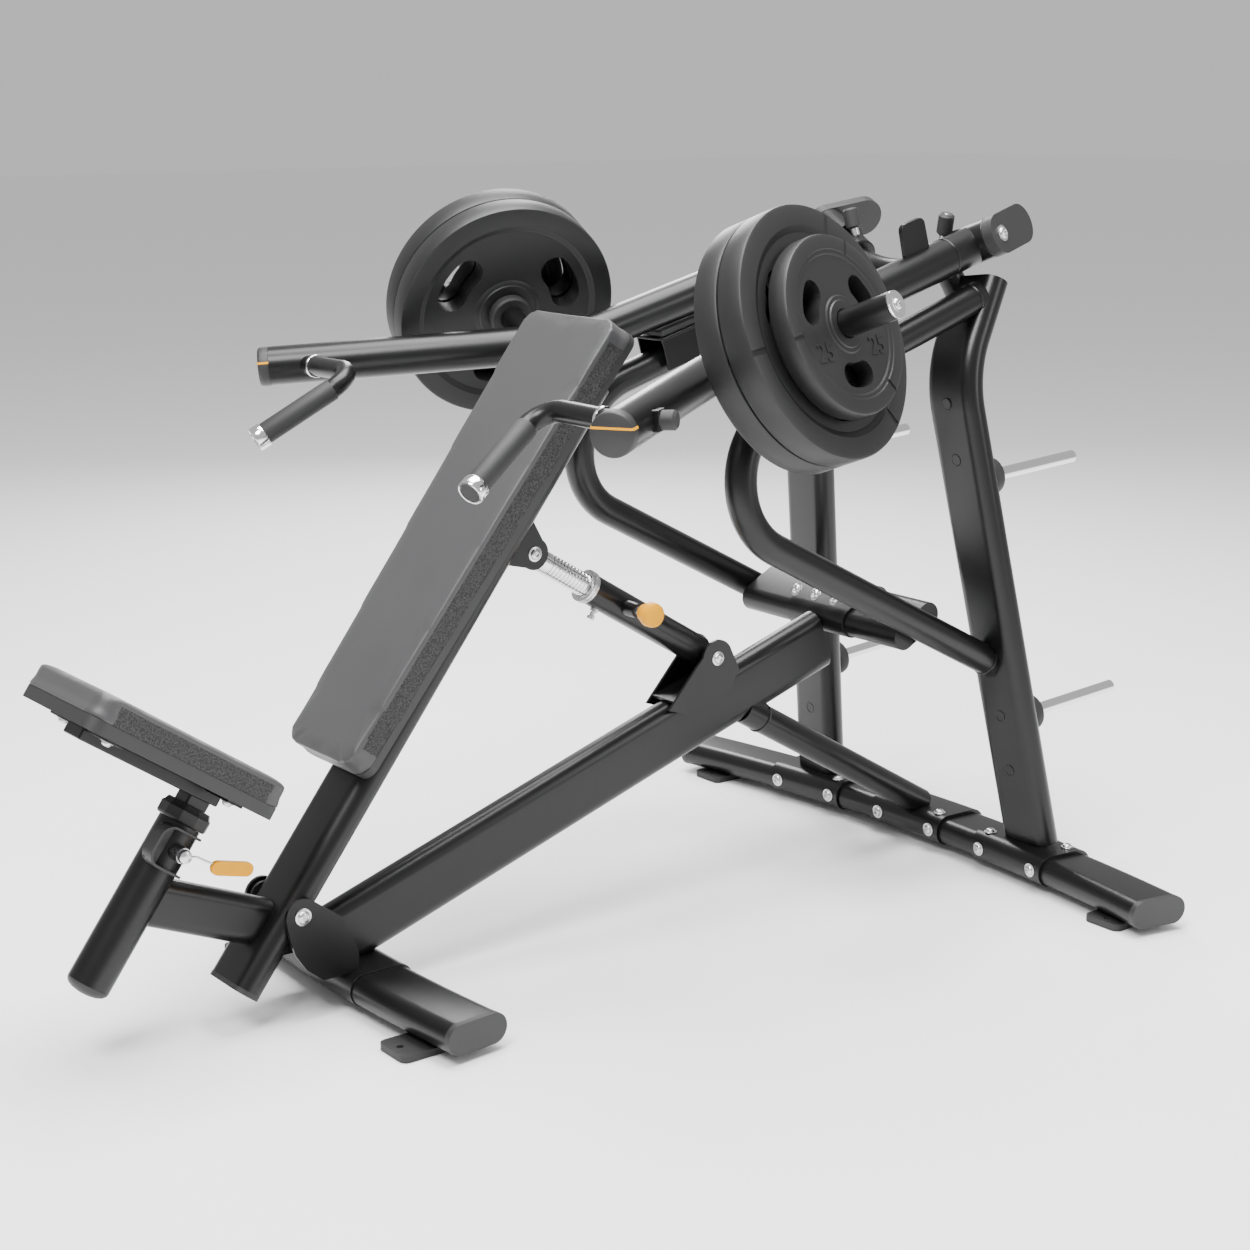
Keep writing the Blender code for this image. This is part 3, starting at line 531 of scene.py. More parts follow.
for s, word in SIDES_OF_MACHINE:
    for level, x, y, z, far in (("upper", 0.2385, 1.3325, 0.834, 0.262),
                                ("lower", 0.2925, 1.4145, 0.342, 0.268)):
        start = side(s, (x, y, z))
        run = side(s, (0.02, 1.0, 0.075)).normalized()
        name = f"storage_{level}_{word}"
        finish(rod(name + "_bar", start - run * 0.004, start + run * far, 0.0125, 0.002), "root", "chrome",
               f"storage_horn_{level}_{word}")
        ring = [(0.0120, 0.004), (0.030, 0.004), (0.036, 0.007), (0.038, 0.012), (0.038, 0.026),
                (0.0365, 0.031), (0.033, 0.034), (0.0120, 0.034)]
        finish(turned(name + "_collar", ring, aim(start, run)), "root", "rubber")
        tip = [(0, far - 0.0005), (0.0062, far - 0.0005), (0.0058, far + 0.0005), (0, far + 0.0008)]
        finish(turned(name + "_plug", tip, aim(start, run), 32), "root", "black_plastic")

for s, word in SIDES_OF_MACHINE:
    place = tilted(side(s, REST_MID), REST_SLOPE)
    for k, x in enumerate((-0.040, 0.040)):
        cheek_place = place @ Matrix.Translation((s * 0.006 + x, 0, -0.050))
        finish(block(f"rest_cheek_{word}_{k}", (0.0045, 0.128, 0.066), cheek_place), "root", "frame_black",
               edge=0.0015)
    finish(block("rest_deck_" + word, (0.086, 0.128, 0.006),
                 place @ Matrix.Translation((s * 0.006, 0, -0.0180))), "root",
           "frame_black", "rest_bracket_" + word, edge=0.002)
    finish(block("rest_cushion_" + word, (0.074, 0.118, 0.0125),
                 place @ Matrix.Translation((s * 0.004, 0, -0.0079))),
           "root", "rubber", "rest_rubber_" + word, edge=0.0035)
    for k, y in enumerate((-0.035, 0.035)):
        spot = place @ Vector((s * (0.006 + 0.0423), y, -0.045))
        bolt(f"rest_bolt_{word}_{k}", spot, (s, 0, 0), "root", 0.007)

# Pivot bracket on the front foot
cheek = side_arc(PIVOT, 0.0325, radians(55), 130, 20)
cheek += [(-0.165, 0.165), (-0.155, 0.130), (-0.135, 0.100), (-0.102, 0.0725), (-0.030, 0.0725),
               (-0.030, 0.112), (-0.062, 0.182)]
for s, word in SIDES_OF_MACHINE:
    finish(slab("bracket_cheek_" + word, cheek, 0.007, side_plane(s * 0.0740),
                [circle(PIVOT.y, PIVOT.z, 0.0086, 32)]),
           "root", "frame_black", edge=0.0010)
    bolt("pivot_bolt_" + word, (s * 0.0772, PIVOT.y, PIVOT.z), (s, 0, 0), "root", 0.0115)
web_place = Matrix.Translation((0, -0.0485, 0.142)) @ Matrix.Rotation(radians(25), 4, "X")
finish(block("bracket_web", (0.1420, 0.0065, 0.086), web_place), "root", "frame_black", "pivot_bracket",
       edge=0.0012)
for s, word in SIDES_OF_MACHINE:
    bush = [(0.0090, 0), (0.0250, 0), (0.0255, 0.0008), (0.0255, 0.0060), (0.0090, 0.0060)]
    finish(turned("bracket_bush_" + word, bush, aim((s * 0.0638, PIVOT.y, PIVOT.z), (s, 0, 0))), "bench",
           "black_plastic")

foot_xs = [0.100 * i / 6 for i in range(-6, 7)]
foot_path = [(x, FOOT_BOW * x ** 2, TUBE_Z + 0.001) for x in foot_xs]
finish(sweep("foot_sleeve", foot_path, flat=(0.1310, 0.0605)), "root", "frame_black", edge=0.0015)


# Strut bracket on the beam
def beam_point(run, drop):
    p = along(BEAM_MID, BEAM_SLOPE, run, drop)
    return (p.y, p.z)


ear = side_arc(STRUT_LOW, 0.037, radians(20), 150, 24)
ear += [beam_point(0.62, -0.058), beam_point(0.66, -0.028), beam_point(0.77, -0.028),
        beam_point(0.805, -0.058)]
for s, word in SIDES_OF_MACHINE:
    finish(slab("clevis_ear_" + word, ear, 0.006, side_plane(s * 0.0355),
                [circle(STRUT_LOW.y, STRUT_LOW.z, 0.0066, 28)]),
           "root", "frame_black", edge=0.0010)
    bolt("strut_bolt_" + word, (s * 0.0383, STRUT_LOW.y, STRUT_LOW.z), (s, 0, 0), "root")
finish(block("clevis_floor", (0.070, 0.150, 0.006),
             tilted(along(BEAM_MID, BEAM_SLOPE, 0.712, -0.0655), BEAM_SLOPE)),
       "root", "frame_black", "strut_clevis", edge=0.0012)

# ---------------------------------------------------------------- bench
BENCH_TOP = along(BENCH_FOOT, BENCH_ANGLE, BENCH_LENGTH)
finish(sweep("bench_oval", [BENCH_FOOT, along(BENCH_FOOT, BENCH_ANGLE, 0.6), BENCH_TOP], flat=FLAT),
       "bench", "frame_black", "bench_tube")
for name, near, far in (("low", -0.009, 0.0), ("high", BENCH_LENGTH, BENCH_LENGTH + 0.009)):
    path = [along(BENCH_FOOT, BENCH_ANGLE, near), along(BENCH_FOOT, BENCH_ANGLE, far)]
    finish(sweep("bench_end_" + name, path, flat=(FLAT[0] + 0.001, FLAT[1] + 0.001)), "bench",
           "black_plastic", edge=0.002)
lug = side_arc(STRUT_HIGH, 0.030, BENCH_ANGLE - pi, 180, 24)
for run in (0.975, 0.878):
    root_point = along(BENCH_FOOT, BENCH_ANGLE, run, 0.0270)
    lug.append((root_point.y, root_point.z))
for s, word in SIDES_OF_MACHINE:
    finish(slab("strut_lug_" + word, lug, 0.006, side_plane(s * 0.0355)), "bench", "frame_black",
           edge=0.0010)
    bolt("lug_bolt_" + word, (s * 0.0383, STRUT_HIGH.y, STRUT_HIGH.z), (s, 0, 0), "bench")
finish(block("lug_base", (0.077, 0.10, 0.005),
             tilted(along(BENCH_FOOT, BENCH_ANGLE, 0.9265, 0.0297), BENCH_ANGLE)),
       "bench", "frame_black", "strut_lugs", edge=0.0010)

POST_RUN = (POST_HIGH - POST_LOW).normalized()
post_place = aim(POST_LOW, POST_RUN)
post_long = (POST_HIGH - POST_LOW).length
finish(turned("post_tube", [(0.0255, 0.001), (POST_R - 0.001, 0.001), (POST_R, 0.002), (POST_R, post_long),
                            (0.0330, post_long), (0.0330, 0.03)], post_place), "bench", "frame_black",
       "seat_post")
finish(turned("post_cap", [(0, -0.0155), (0.012, -0.0150), (0.024, -0.0125), (0.032, -0.0085),
                           (0.0365, -0.0035),
                           (0.0380, 0.0015), (0, 0.0015)], post_place), "bench", "black_plastic")
support = sweep("support_tube", [(0, -0.3870, 0.2630), (0, -0.1620, 0.1688)], flat=(0.088, 0.050),
                tilt=pi / 2)
finish(support, "bench", "frame_black", "seat_support")
collar_place = aim(POST_HIGH, POST_RUN)
finish(turned("post_collar_ring", [(0.0325, 0.0004), (0.0445, 0.0004), (0.0465, 0.005), (0.0468, 0.022),
                                   (0.0430, 0.0265), (0.0400, 0.0338), (0.0325, 0.0338)], collar_place, 10),
       "bench", "black_plastic", "post_collar", edge=0.0022, smooth=20)
PIN_AT = POST_HIGH - POST_RUN * 0.045
guard_mid = PIN_AT + Vector((0.0410, -0.012, 0.009))
guard_out = Vector((0, -POST_RUN.z, POST_RUN.y))
guard_turn = Matrix((guard_out, POST_RUN, Vector((-1, 0, 0)))).transposed().to_4x4()
GUARD_WALL, GUARD_HALF, GUARD_REACH, GUARD_CORNER = 0.0045, 0.0375, 0.0385, 0.024
turn_steps = [radians(90 - 90 * i / 8) for i in range(9)]


def guard_bend(half, reach, corner):
    upper = [(reach - corner + corner * cos(t), half - corner + corner * sin(t)) for t in turn_steps]
    return [(-0.034, half)] + upper + [(x, -y) for x, y in reversed(upper)] + [(-0.034, -half)]


guard_outline = guard_bend(GUARD_HALF, GUARD_REACH, GUARD_CORNER)
guard_outline += reversed(guard_bend(GUARD_HALF - GUARD_WALL, GUARD_REACH - GUARD_WALL,
                                     GUARD_CORNER - GUARD_WALL))
finish(slab("guard_wall", guard_outline, 0.034, Matrix.Translation(guard_mid) @ guard_turn), "bench",
       "black_plastic", edge=0.0010)
finish(block("guard_back", (0.066, 0.066, 0.005),
             Matrix.Translation(guard_mid - Vector((0.012, 0, 0))) @ guard_turn),
       "bench", "black_plastic", edge=0.0020)
finish(turned("pin_sleeve", [(0.0070, 0.028), (0.0150, 0.028), (0.0150, 0.052), (0.0135, 0.0640),
                             (0.0070, 0.0640)],
              aim(PIN_AT, (1, 0, 0)), 40), "bench", "bolt_steel", "pin_guard")
finish(turned("pin_plunger", [(0, 0.030), (0.0062, 0.030), (0.0062, 0.0655), (0.0120, 0.0665),
                              (0.0125, 0.0700),
                              (0.0110, 0.0740), (0.0070, 0.0765), (0, 0.0770)], aim(PIN_AT, (1, 0, 0)), 40),
       "seat_pin", "bolt_steel", "seat_pin")
wire = [PIN_AT + Vector(p) for p in ((0.0740, -0.004, 0.002), (0.0755, 0.018, -0.002),
                                     (0.0750, 0.030, -0.010), (0.0740, 0.052, -0.0240))]
finish(sweep("pin_wire", rounded(wire, 0.012, 8), radius=0.0020, sides=16), "seat_pin", "bolt_steel")
tab_turn = side_plane(0) @ Matrix.Rotation(radians(-14), 4, "Z")
tab_place = Matrix.Translation(PIN_AT + Vector((0.0740, 0.0560, -0.0300))) @ tab_turn
finish(slab("pin_tab", round_plate(((0, 0), (0.054, 0)), (0.0125, 0.0125), 10), 0.010, tab_place),
       "seat_pin", "yellow", edge=0.0025)

# ---------------------------------------------------------------- strut
STRUT_RUN = (STRUT_HIGH - STRUT_LOW).normalized()
strut_place = aim(STRUT_LOW, STRUT_RUN)
finish(turned("strut_tube", [(0, 0.020), (0.0285, 0.020), (0.0295, 0.0215), (0.0295, 0.337),
                             (0.0230, 0.337),
                             (0.0230, 0.05), (0, 0.05)], strut_place), "strut_outer", "frame_black",
       "strut_outer")
finish(turned("strut_ring", [(0.0230, 0.334), (0.0318, 0.334), (0.0325, 0.3350), (0.0325, 0.3395),
                             (0.0305, 0.3405),
                             (0.0305, 0.3425), (0.0325, 0.3435), (0.0325, 0.3465), (0.0300, 0.3475),
                             (0.0230, 0.3475)],
              strut_place), "strut_outer", "bolt_steel")
finish(rod("strut_foot_eye", STRUT_LOW + Vector((-0.0290, 0, 0)), STRUT_LOW + Vector((0.0290, 0, 0)),
           0.0245, 0.002),
       "strut_outer", "frame_black")
grooves = []
for k in range(12):
    at = 0.352 + 0.0085 * k
    grooves += [(0.0220, at), (0.0212, at + 0.0008), (0.0212, at + 0.0024), (0.0220, at + 0.0032)]
groove_profile = [(0, 0.150), (0.0220, 0.150), *grooves, (0.0220, 0.476), (0.0190, 0.490), (0, 0.490)]
finish(turned("strut_bar", groove_profile, strut_place), "strut_rod", "chrome", "strut_rod")
finish(rod("strut_head_eye", STRUT_HIGH + Vector((-0.0280, 0, 0)), STRUT_HIGH + Vector((0.0280, 0, 0)),
           0.0200, 0.002),
       "strut_rod", "frame_black")
KNOB_AT = STRUT_LOW + STRUT_RUN * 0.250
finish(turned("knob_boss", [(0, 0.020), (0.0150, 0.020), (0.0150, 0.046), (0.0135, 0.0590), (0, 0.0590)],
              aim(KNOB_AT, (1, 0, 0)), 40), "strut_outer", "frame_black")
finish(turned("knob_stem", [(0, 0.055), (0.0080, 0.055), (0.0080, 0.092), (0, 0.092)],
              aim(KNOB_AT, (1, 0, 0)), 36),
       "strut_knob", "bolt_steel")
finish(turned("pull_knob", [(0, 0.0750), (0.0140, 0.0750), (0.0165, 0.0780), (0.0180, 0.0860),
                            (0.0215, 0.0900),
                            (0.0235, 0.0950), (0.0235, 0.1060), (0.0220, 0.1120), (0.0180, 0.1150),
                            (0.0090, 0.1160),
                            (0, 0.1160)], aim(KNOB_AT, (1, 0, 0)), 48), "strut_knob", "yellow",
       "strut_knob")
under = (STRUT_RUN.cross(Vector((1, 0, 0)))).normalized()
if under.z > 0:
    under = -under
nipple_at = STRUT_LOW + STRUT_RUN * 0.300 + under * 0.028
finish(turned("strut_nipple", [(0, 0), (0.0080, 0), (0.0080, 0.006), (0.0050, 0.008), (0.0050, 0.014),
                               (0.0075, 0.016),
                               (0.0075, 0.022), (0, 0.023)], aim(nipple_at, under), 24), "strut_outer",
       "bolt_steel")

# ---------------------------------------------------------------- seat
seat_plane = tilted(SEAT_MID, SEAT_ANGLE)
STEM_MID = POST_HIGH + POST_RUN * (0.070 - 0.185) / 2
finish(block("seat_bar_stem", (0.0440, 0.0440, 0.255), aim(STEM_MID, POST_RUN)), "seat", "frame_black",
       "seat_stem", edge=0.004)
finish(block("seat_bar_rail", (0.062, 0.290, 0.022), seat_plane @ Matrix.Translation((0, 0, -0.0752))),
       "seat", "frame_black", edge=0.003)
for k, y in enumerate((-0.125, 0.125)):
    for s, word in SIDES_OF_MACHINE:
        spot = seat_plane @ Vector((s * 0.085, y, -0.066))
        down = seat_plane.to_3x3() @ Vector((0, 0, -1))
        finish(block(f"seat_tie_{word}_{k}", (0.080, 0.032, 0.004),
                     seat_plane @ Matrix.Translation((s * 0.070, y, -0.0670))),
               "seat", "frame_black", edge=0.0008)
        bolt(f"seat_bolt_{word}_{k}", spot + down * 0.0025, down, "seat", 0.0085)


def pad_outline(low_half, high_half, length, corner, arc=12):
    corners = ((low_half, 0, -pi / 2), (high_half, length, 0), (-high_half, length, pi / 2),
               (-low_half, 0, pi))
    points = []
    for x, y, start in corners:
        cx = x - corner if x > 0 else x + corner
        cy = y + corner if y == 0 else y - corner
        points += [(cx + corner * cos(start + pi / 2 * i / arc),
                    cy + corner * sin(start + pi / 2 * i / arc))
                   for i in range(arc + 1)]
    return points


def cushion(name, points, thick, place, body, node, wrap, roll=0.011, cap=0.0035):
    """A firm upholstered pad: rounded over its face, puffed by a short cloth simulation.

    Smooth leather covers the face and wraps a share of each end; the rest of the sides is granular.
    """
    pad = slab(name, points, thick, Matrix.Identity(4))
    bevel = pad.modifiers.new("roll", "BEVEL")
    bevel.width = roll
    bevel.segments = 5
    bevel.limit_method = "ANGLE"
    bevel.angle_limit = radians(60)
    remesh = pad.modifiers.new("cloth_grid", "REMESH")
    remesh.mode = "VOXEL"
    remesh.voxel_size = 0.0055
    pad = take_mesh(name, pad)
    rest = [v.co.copy() for v in pad.data.vertices]
    cloth = pad.modifiers.new("fill", "CLOTH")
    cloth.settings.use_pressure = True
    cloth.settings.uniform_pressure_force = 4
    cloth.settings.effector_weights.gravity = 0
    cloth.settings.tension_stiffness = cloth.settings.compression_stiffness = 40
    for step in range(1, 21):
        bpy.context.scene.frame_set(step)
    pad = take_mesh(name, pad)
    bpy.context.scene.frame_set(1)
    low_z, high_z = -thick / 2, thick / 2
    for vert, was in zip(pad.data.vertices, rest):
        move = vert.co - was
        if move.length > cap:
            move = move.normalized() * cap
        height = (was.z - low_z) / (high_z - low_z)
        vert.co = was + move * max(0.0, min(1.0, (height - 0.12) / 0.3))
    smooth = pad.modifiers.new("fine", "SUBSURF")
    smooth.levels = smooth.render_levels = 1
    pad = take_mesh(name, pad)
    face_z = thick / 2 - roll * 0.75
    xs = [p[0] for p in points]
    ys = [p[1] for p in points]
    sides = []
    for face in pad.data.polygons:
        c = face.center
        part = (c.y - min(ys)) / (max(ys) - min(ys))
        edge_x = (1 - part) * abs(points[0][0]) + part * max(xs)
        is_side = abs(c.x) > edge_x - roll * 0.45 and c.z < face_z and wrap < part < 1 - wrap
        sides.append(1 if is_side else 0)
    pad.data.transform(place)
    finish(pad, body, "leather", node, material=leather, smooth=180)
    pad.data.materials.append(grain.mat)
    for face, is_side in zip(pad.data.polygons, sides):
        face.material_index = is_side


SEAT_LONG, SEAT_HALF = 0.400, 0.142
shell_place = seat_plane @ Matrix.Translation((0, -SEAT_LONG / 2 + 0.004, -0.0535))
finish(slab("seat_tray", pad_outline(SEAT_HALF - 0.004, SEAT_HALF - 0.004, SEAT_LONG - 0.008, 0.030),
            0.0225, shell_place),
       "seat", "black_plastic", "seat_shell", edge=0.007)
cushion("seat_cushion", pad_outline(SEAT_HALF - 0.002, SEAT_HALF - 0.002, SEAT_LONG - 0.004, 0.034), 0.0425,
        seat_plane @ Matrix.Translation((0, -SEAT_LONG / 2 + 0.002, -0.0230)), "seat", "seat_pad", 0.10)

BACK_LOW, BACK_HIGH, BACK_LONG = 0.1150, 0.1430, 0.930
back_plane = tilted(along(PAD_FACE, PAD_ANGLE, -0.027), PAD_ANGLE)
finish(slab("back_tray", pad_outline(BACK_LOW - 0.003, BACK_HIGH - 0.003, BACK_LONG - 0.006, 0.028), 0.0150,
            back_plane @ Matrix.Translation((0, 0.003, -0.0520))), "bench", "black_plastic", "back_shell",
       edge=0.004)
finish(block("back_spine", (0.090, 0.70, 0.016), back_plane @ Matrix.Translation((0, 0.45, -0.0672))),
       "bench", "black_plastic", edge=0.004)
cushion("back_cushion", pad_outline(BACK_LOW - 0.002, BACK_HIGH - 0.002, BACK_LONG - 0.004, 0.034), 0.0460,
        back_plane @ Matrix.Translation((0, 0.002, -0.0245)), "bench", "back_pad", 0.045)


# ---------------------------------------------------------------- arms and plates
def kidney(reach, wide, half_spread):
    """A grip hole that follows a circle of radius reach, with round ends."""
    spread = [half_spread * i / 5 for i in range(-5, 6)]
    outer = [((reach + wide) * cos(t), (reach + wide) * sin(t)) for t in spread]
    inner = [((reach - wide) * cos(t), (reach - wide) * sin(t)) for t in reversed(spread)]
    ends = []
    for angle, turn in ((half_spread, 1), (-half_spread, -1)):
        middle = Vector((reach * cos(angle), reach * sin(angle)))
        steps = [angle + turn * pi * i / 10 for i in range(1, 10)]
        ends.append([(middle.x + wide * cos(t), middle.y + wide * sin(t)) for t in steps])
    return outer + ends[0] + inner + ends[1][::-1]


def weight_plate(name, radius, thick, place, body, node, numbers):
    """A turned disc with a stepped rim, a hub ring, three grip holes and rim notches."""
    hub_r, rim, web = 0.27 * radius, 0.82 * radius, thick * 0.10
    profile = [(0.0253, 0.001), (0.0263, 0), (hub_r - 0.002, 0), (hub_r, 0.002),
               (hub_r + 0.006, web - 0.002),
               (hub_r + 0.009, web), (rim - 0.009, web), (rim - 0.006, web - 0.002), (rim, 0.0015),
               (rim + 0.002, 0),
               (radius - 0.006, 0), (radius - 0.0018, 0.0018), (radius, 0.006)]
    profile = profile + [(r, thick - z) for r, z in reversed(profile)]
    disc = turned(name, profile, Matrix.Identity(4), 120)
    cutters = []
    reach = 0.56 * radius
    outline = kidney(reach, 0.135 * radius, radians(13))
    for k in range(3):
        spot = Matrix.Rotation(radians(-90 + 120 * k), 4, "Z") @ Matrix.Translation((0, 0, thick / 2))
        cutters.append(slab(name + "_hole", outline, thick * 2, spot))
        notch = Matrix.Rotation(radians(-55 + 120 * k), 4,
                                "Z") @ Matrix.Translation((radius * 0.915, 0, thick + 0.0005))
        cutters.append(block(name + "_notch", (radius * 0.19, radius * 0.045, 0.005), notch))
    for cutter in cutters:
        cut = disc.modifiers.new("cut", "BOOLEAN")
        cut.object = cutter
    made = take_mesh(name, disc)
    for cutter in cutters:
        bpy.data.objects.remove(cutter, do_unlink=True)
    for k, word in enumerate(numbers):
        data = bpy.data.curves.new(name + "_number", "FONT")
        data.body = word
        data.size = radius * 0.30
        data.extrude = 0.0012
        data.align_x = "CENTER"
        data.align_y = "CENTER"
        label = bpy.data.objects.new(name + f"_number_{k}", data)
        bpy.context.scene.collection.objects.link(label)
        label = take_mesh(name + f"_number_{k}", label)
        around = radians(-150 + 120 * k)
        spot = Matrix.Translation((reach * cos(around), reach * sin(around), thick - web + 0.0005))
        label.data.transform(place @ spot)
        finish(label, body, "plate_black")
    made.data.transform(place)
    finish(made, body, "plate_black", node, edge=0.0014, smooth=28)


for s, word in SIDES_OF_MACHINE:
    hub, n = side(s, HUB), side(s, PRESS_AXIS)
    end, bend = side(s, ARM_END), side(s, ARM_BEND)
    body = "arm_" + word
    rear_run, front_run = (hub - bend).normalized(), (end - bend).normalized()
    finish(sweep("press_tube_" + word, rounded([end, bend, hub], 0.30, 24), radius=ARM_R), body,
           "frame_black", "arm_" + word)
    finish(rod("hub_barrel_" + word, hub - n * 0.0410, hub + n * 0.0430, 0.0400, 0.002), body,
           "frame_black")
    fin_mid = hub - rear_run * 0.168
    fin_plane = tilted(fin_mid + Vector((0, 0, 0.012)), radians(15)) @ side_plane(0)
    fin_top = [(0.014 * cos(t), 0.074 + 0.014 * sin(t)) for t in [radians(12 * i) for i in range(16)]]
    fin_outline = [(-0.033, 0), (0.033, 0)]
    fin_outline += [(x + (0.017 if x > 0 else -0.017), y) for x, y in fin_top]
    finish(slab("stop_fin_" + word, fin_outline, 0.010, fin_plane), body, "frame_black", edge=0.002)
    weld_bead("arm_seam_" + word, hub - rear_run * 0.088, rear_run, ARM_R, body, 0.0024)
    cap_low = end - front_run * 0.001
    cap_profile = [(0, 0), (ARM_R, 0), (ARM_R, 0.010), (0.0376, 0.0170), (0.0365, 0.0200), (0.0345, 0.0214),
                   (0, 0.0220)]
    finish(turned("arm_end_" + word, cap_profile, aim(cap_low, front_run)), body, "black_plastic",
           "arm_cap_" + word)
    stripe_up = (Vector((0, 0, 1)) - front_run * front_run.z).normalized()
    stripe_side = front_run.cross(stripe_up)
    stripe_turn = Matrix((stripe_side, stripe_up, front_run)).transposed().to_4x4()
    stripe_place = Matrix.Translation(cap_low + front_run * 0.0118 + stripe_up * 0.0105) @ stripe_turn
    stripe = turned("arm_stripe_" + word,
                    [(r + 0.0005 * (r > 0), z + 0.0005 * (z > 0.02)) for r, z in cap_profile],
                    aim(cap_low, front_run))
    band = block("stripe_band", (0.10, 0.0040, 0.05), stripe_place)
    cut = stripe.modifiers.new("band", "BOOLEAN")
    cut.operation = "INTERSECT"
    cut.object = band
    stripe = take_mesh("arm_stripe_" + word, stripe)
    bpy.data.objects.remove(band, do_unlink=True)
    finish(stripe, body, "yellow")
    horn_root, horn_tip = side(s, HORN_Q) - n * 0.160, side(s, HORN_Q) + n * 0.2480
    finish(rod("horn_sleeve_" + word, horn_root, horn_tip, HORN_R, 0.002), body, "frame_black")
    stop_low, stop_high = side(s, HORN_Q) - n * 0.022, side(s, HORN_Q) - n * 0.0006
    finish(rod("horn_flange_" + word, stop_low, stop_high, 0.043, 0.004), body, "rubber")
    tip_ring = [(0.0090, 0), (0.0235, 0), (0.0243, 0.0010), (0.0243, 0.0032), (0.0228, 0.0040),
                (0.0090, 0.0040)]
    finish(turned("horn_ring_" + word, tip_ring, aim(horn_tip - n * 0.0005, n)), body, "chrome")
    bolt("horn_bolt_" + word, horn_tip + n * 0.0020, n, body, 0.0100)
    out = (side(s, (1, 0, 0)) - front_run * front_run.dot(side(s, (1, 0, 0)))).normalized()
    bump = end - front_run * 0.095 + out * 0.036
    finish(block("bumper_base_" + word, (0.034, 0.036, 0.018), aim(bump, out)), body, "frame_black",
           edge=0.002)
    finish(rod("bumper_" + word, bump + out * 0.004, bump + out * 0.034, 0.0165, 0.004), body, "rubber")

    elbow, tip = side(s, (0.302, 0.225, 1.078)), side(s, (0.3613, 0.0374, 0.9614))
    root = end - front_run * 0.060
    down = (tip - elbow).normalized()
    grip_low = tip - down * 0.022
    finish(sweep("handle_bar_" + word, rounded([root, elbow, grip_low], 0.045, 20), radius=0.0190,
                 sides=44), body,
           "frame_black", "handle_" + word)
    grip_start = elbow + down * 0.055
    grip_long = (grip_low - grip_start).length
    grip = [(0.0188, 0), (0.0200, 0.0008), (0.0206, 0.003)]
    grip += [(0.0206, grip_long - 0.002), (0.0198, grip_long), (0.0188, grip_long)]
    finish(turned("grip_sleeve_" + word, grip, aim(grip_start, down)), body, "rubber")
    ends = [(0, 0), (0.0224, 0), (0.0230, 0.0010), (0.0230, 0.0195), (0.0220, 0.0212), (0.0190, 0.0216),
            (0.0186, 0.0200), (0, 0.0198)]
    finish(turned("grip_end_" + word, ends, aim(grip_low, down)), body, "chrome")
    disc = [(0, 0.0196), (0.0184, 0.0196), (0.0180, 0.0206), (0, 0.0209)]
    finish(turned("grip_disc_" + word, disc, aim(grip_low, down)), body, "black_plastic",
           material=dark_disc)
    in_run = (elbow - root).normalized()
    ring_at = root + in_run * 0.060
    ring = [(0.0188, 0), (0.0215, 0), (0.0222, 0.0008), (0.0222, 0.0056), (0.0215, 0.0064),
            (0.0188, 0.0064)]
    finish(turned("handle_ring_" + word, ring, aim(ring_at, in_run)), body, "chrome")

    cover_plane = aim(hub + n * 0.0545, n)
    local = cover_plane.inverted().to_3x3() @ rear_run
    far = (local.x * 0.088, local.y * 0.088)
    cover = slab("pivot_shield_" + word, round_plate(((0, 0), far), (0.0400, 0.0400), 28), 0.0220,
                 cover_plane)
    finish(cover, body, "black_plastic", "pivot_cover_" + word, edge=0.0035)
    bolt("pivot_cover_bolt_" + word, hub + n * 0.0653, n, body, 0.0120)

    at = 0.0
    stack = (("inner", BIG_R, BIG_THICK, ()), ("outer", BIG_R, BIG_THICK, ()),
             ("small", SMALL_R, SMALL_THICK, ("25", "25")))
    for size, radius, thick, numbers in stack:
        place = aim(side(s, HORN_Q) + n * (at + 0.0003), n)
        weight_plate(f"disc_{size}_{word}", radius, thick, place, "plates_" + word, f"plate_{size}_{word}",
                     numbers)
        at += thick + 0.0003

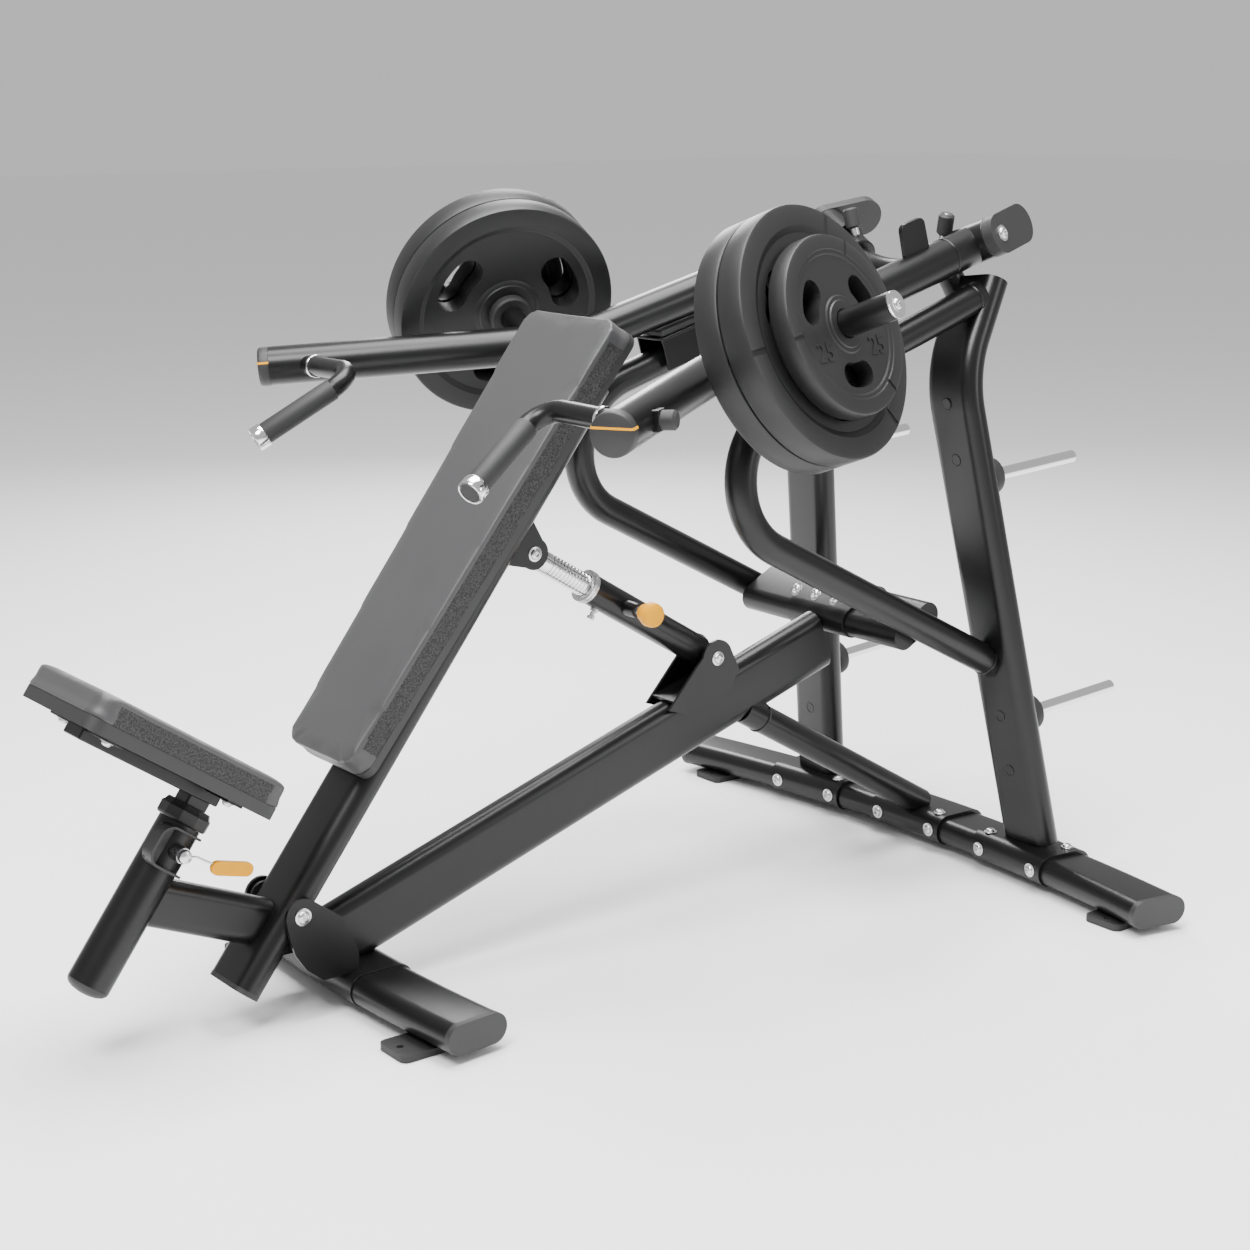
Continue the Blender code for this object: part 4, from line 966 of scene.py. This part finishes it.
# CAD pieces that stay as they are
for name, slot in (("pivot_pin", "bolt_steel"), ("strut_pin", "bolt_steel")):
    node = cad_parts[name]
    node.data.materials.clear()
    node.data.materials.append(FINISH[slot].mat)
    node.data.shade_smooth()


# ---------------------------------------------------------------- floor, light and camera
def stage_floor():
    bm = bmesh.new()
    bmesh.ops.create_grid(bm, x_segments=1, y_segments=1, size=40)
    floor = solid("studio_floor", bm)
    floor.location.z = -0.0002
    paper = Shader("pale_floor", (0.96, 0.96, 0.96), 0.75, specular=0.2)
    paper.vary_roughness(paper.noise(2), 0.7, 0.8)
    floor.data.materials.append(paper.mat)


def area_light(name, where, target, size, power):
    data = bpy.data.lights.new(name, "AREA")
    data.shape = "RECTANGLE"
    data.size, data.size_y = size
    data.energy = power
    lamp = bpy.data.objects.new(name, data)
    bpy.context.scene.collection.objects.link(lamp)
    lamp.location = where
    lamp.rotation_euler = (Vector(target) - Vector(where)).to_track_quat("-Z", "Y").to_euler()


stage_floor()
area_light("key", (1.6, -3.0, 4.8), (0, 0, 0.6), (2.2, 2.2), 360)
area_light("top", (0.0, 0.2, 4.4), (0, 0.1, 0), (3.0, 3.0), 450)
area_light("rim", (-3.8, 2.4, 3.0), (0, 0, 0.8), (1.2, 3.0), 150)
area_light("side", (4.4, 2.4, 2.2), (0, 0.2, 0.8), (0.8, 2.6), 60)
world = bpy.data.worlds.new("studio")
world.use_nodes = True
world.node_tree.nodes["Background"].inputs["Color"].default_value = (1, 1, 1, 1)
world.node_tree.nodes["Background"].inputs["Strength"].default_value = 0.62
bpy.context.scene.world = world

camera_data = bpy.data.cameras.new("camera")
camera_data.lens = LENS
camera_data.sensor_width = 36
camera = bpy.data.objects.new("camera", camera_data)
bpy.context.scene.collection.objects.link(camera)
back = Vector((sin(AZIMUTH) * cos(ELEVATION), -cos(AZIMUTH) * cos(ELEVATION), sin(ELEVATION)))
level = Vector((cos(AZIMUTH), sin(AZIMUTH), 0))
rise = back.cross(level)
right = level * cos(ROLL) + rise * sin(ROLL)
up = rise * cos(ROLL) - level * sin(ROLL)
camera.matrix_world = Matrix.Translation(CAMERA_AT) @ Matrix((right, up, back)).transposed().to_4x4()
bpy.context.scene.camera = camera
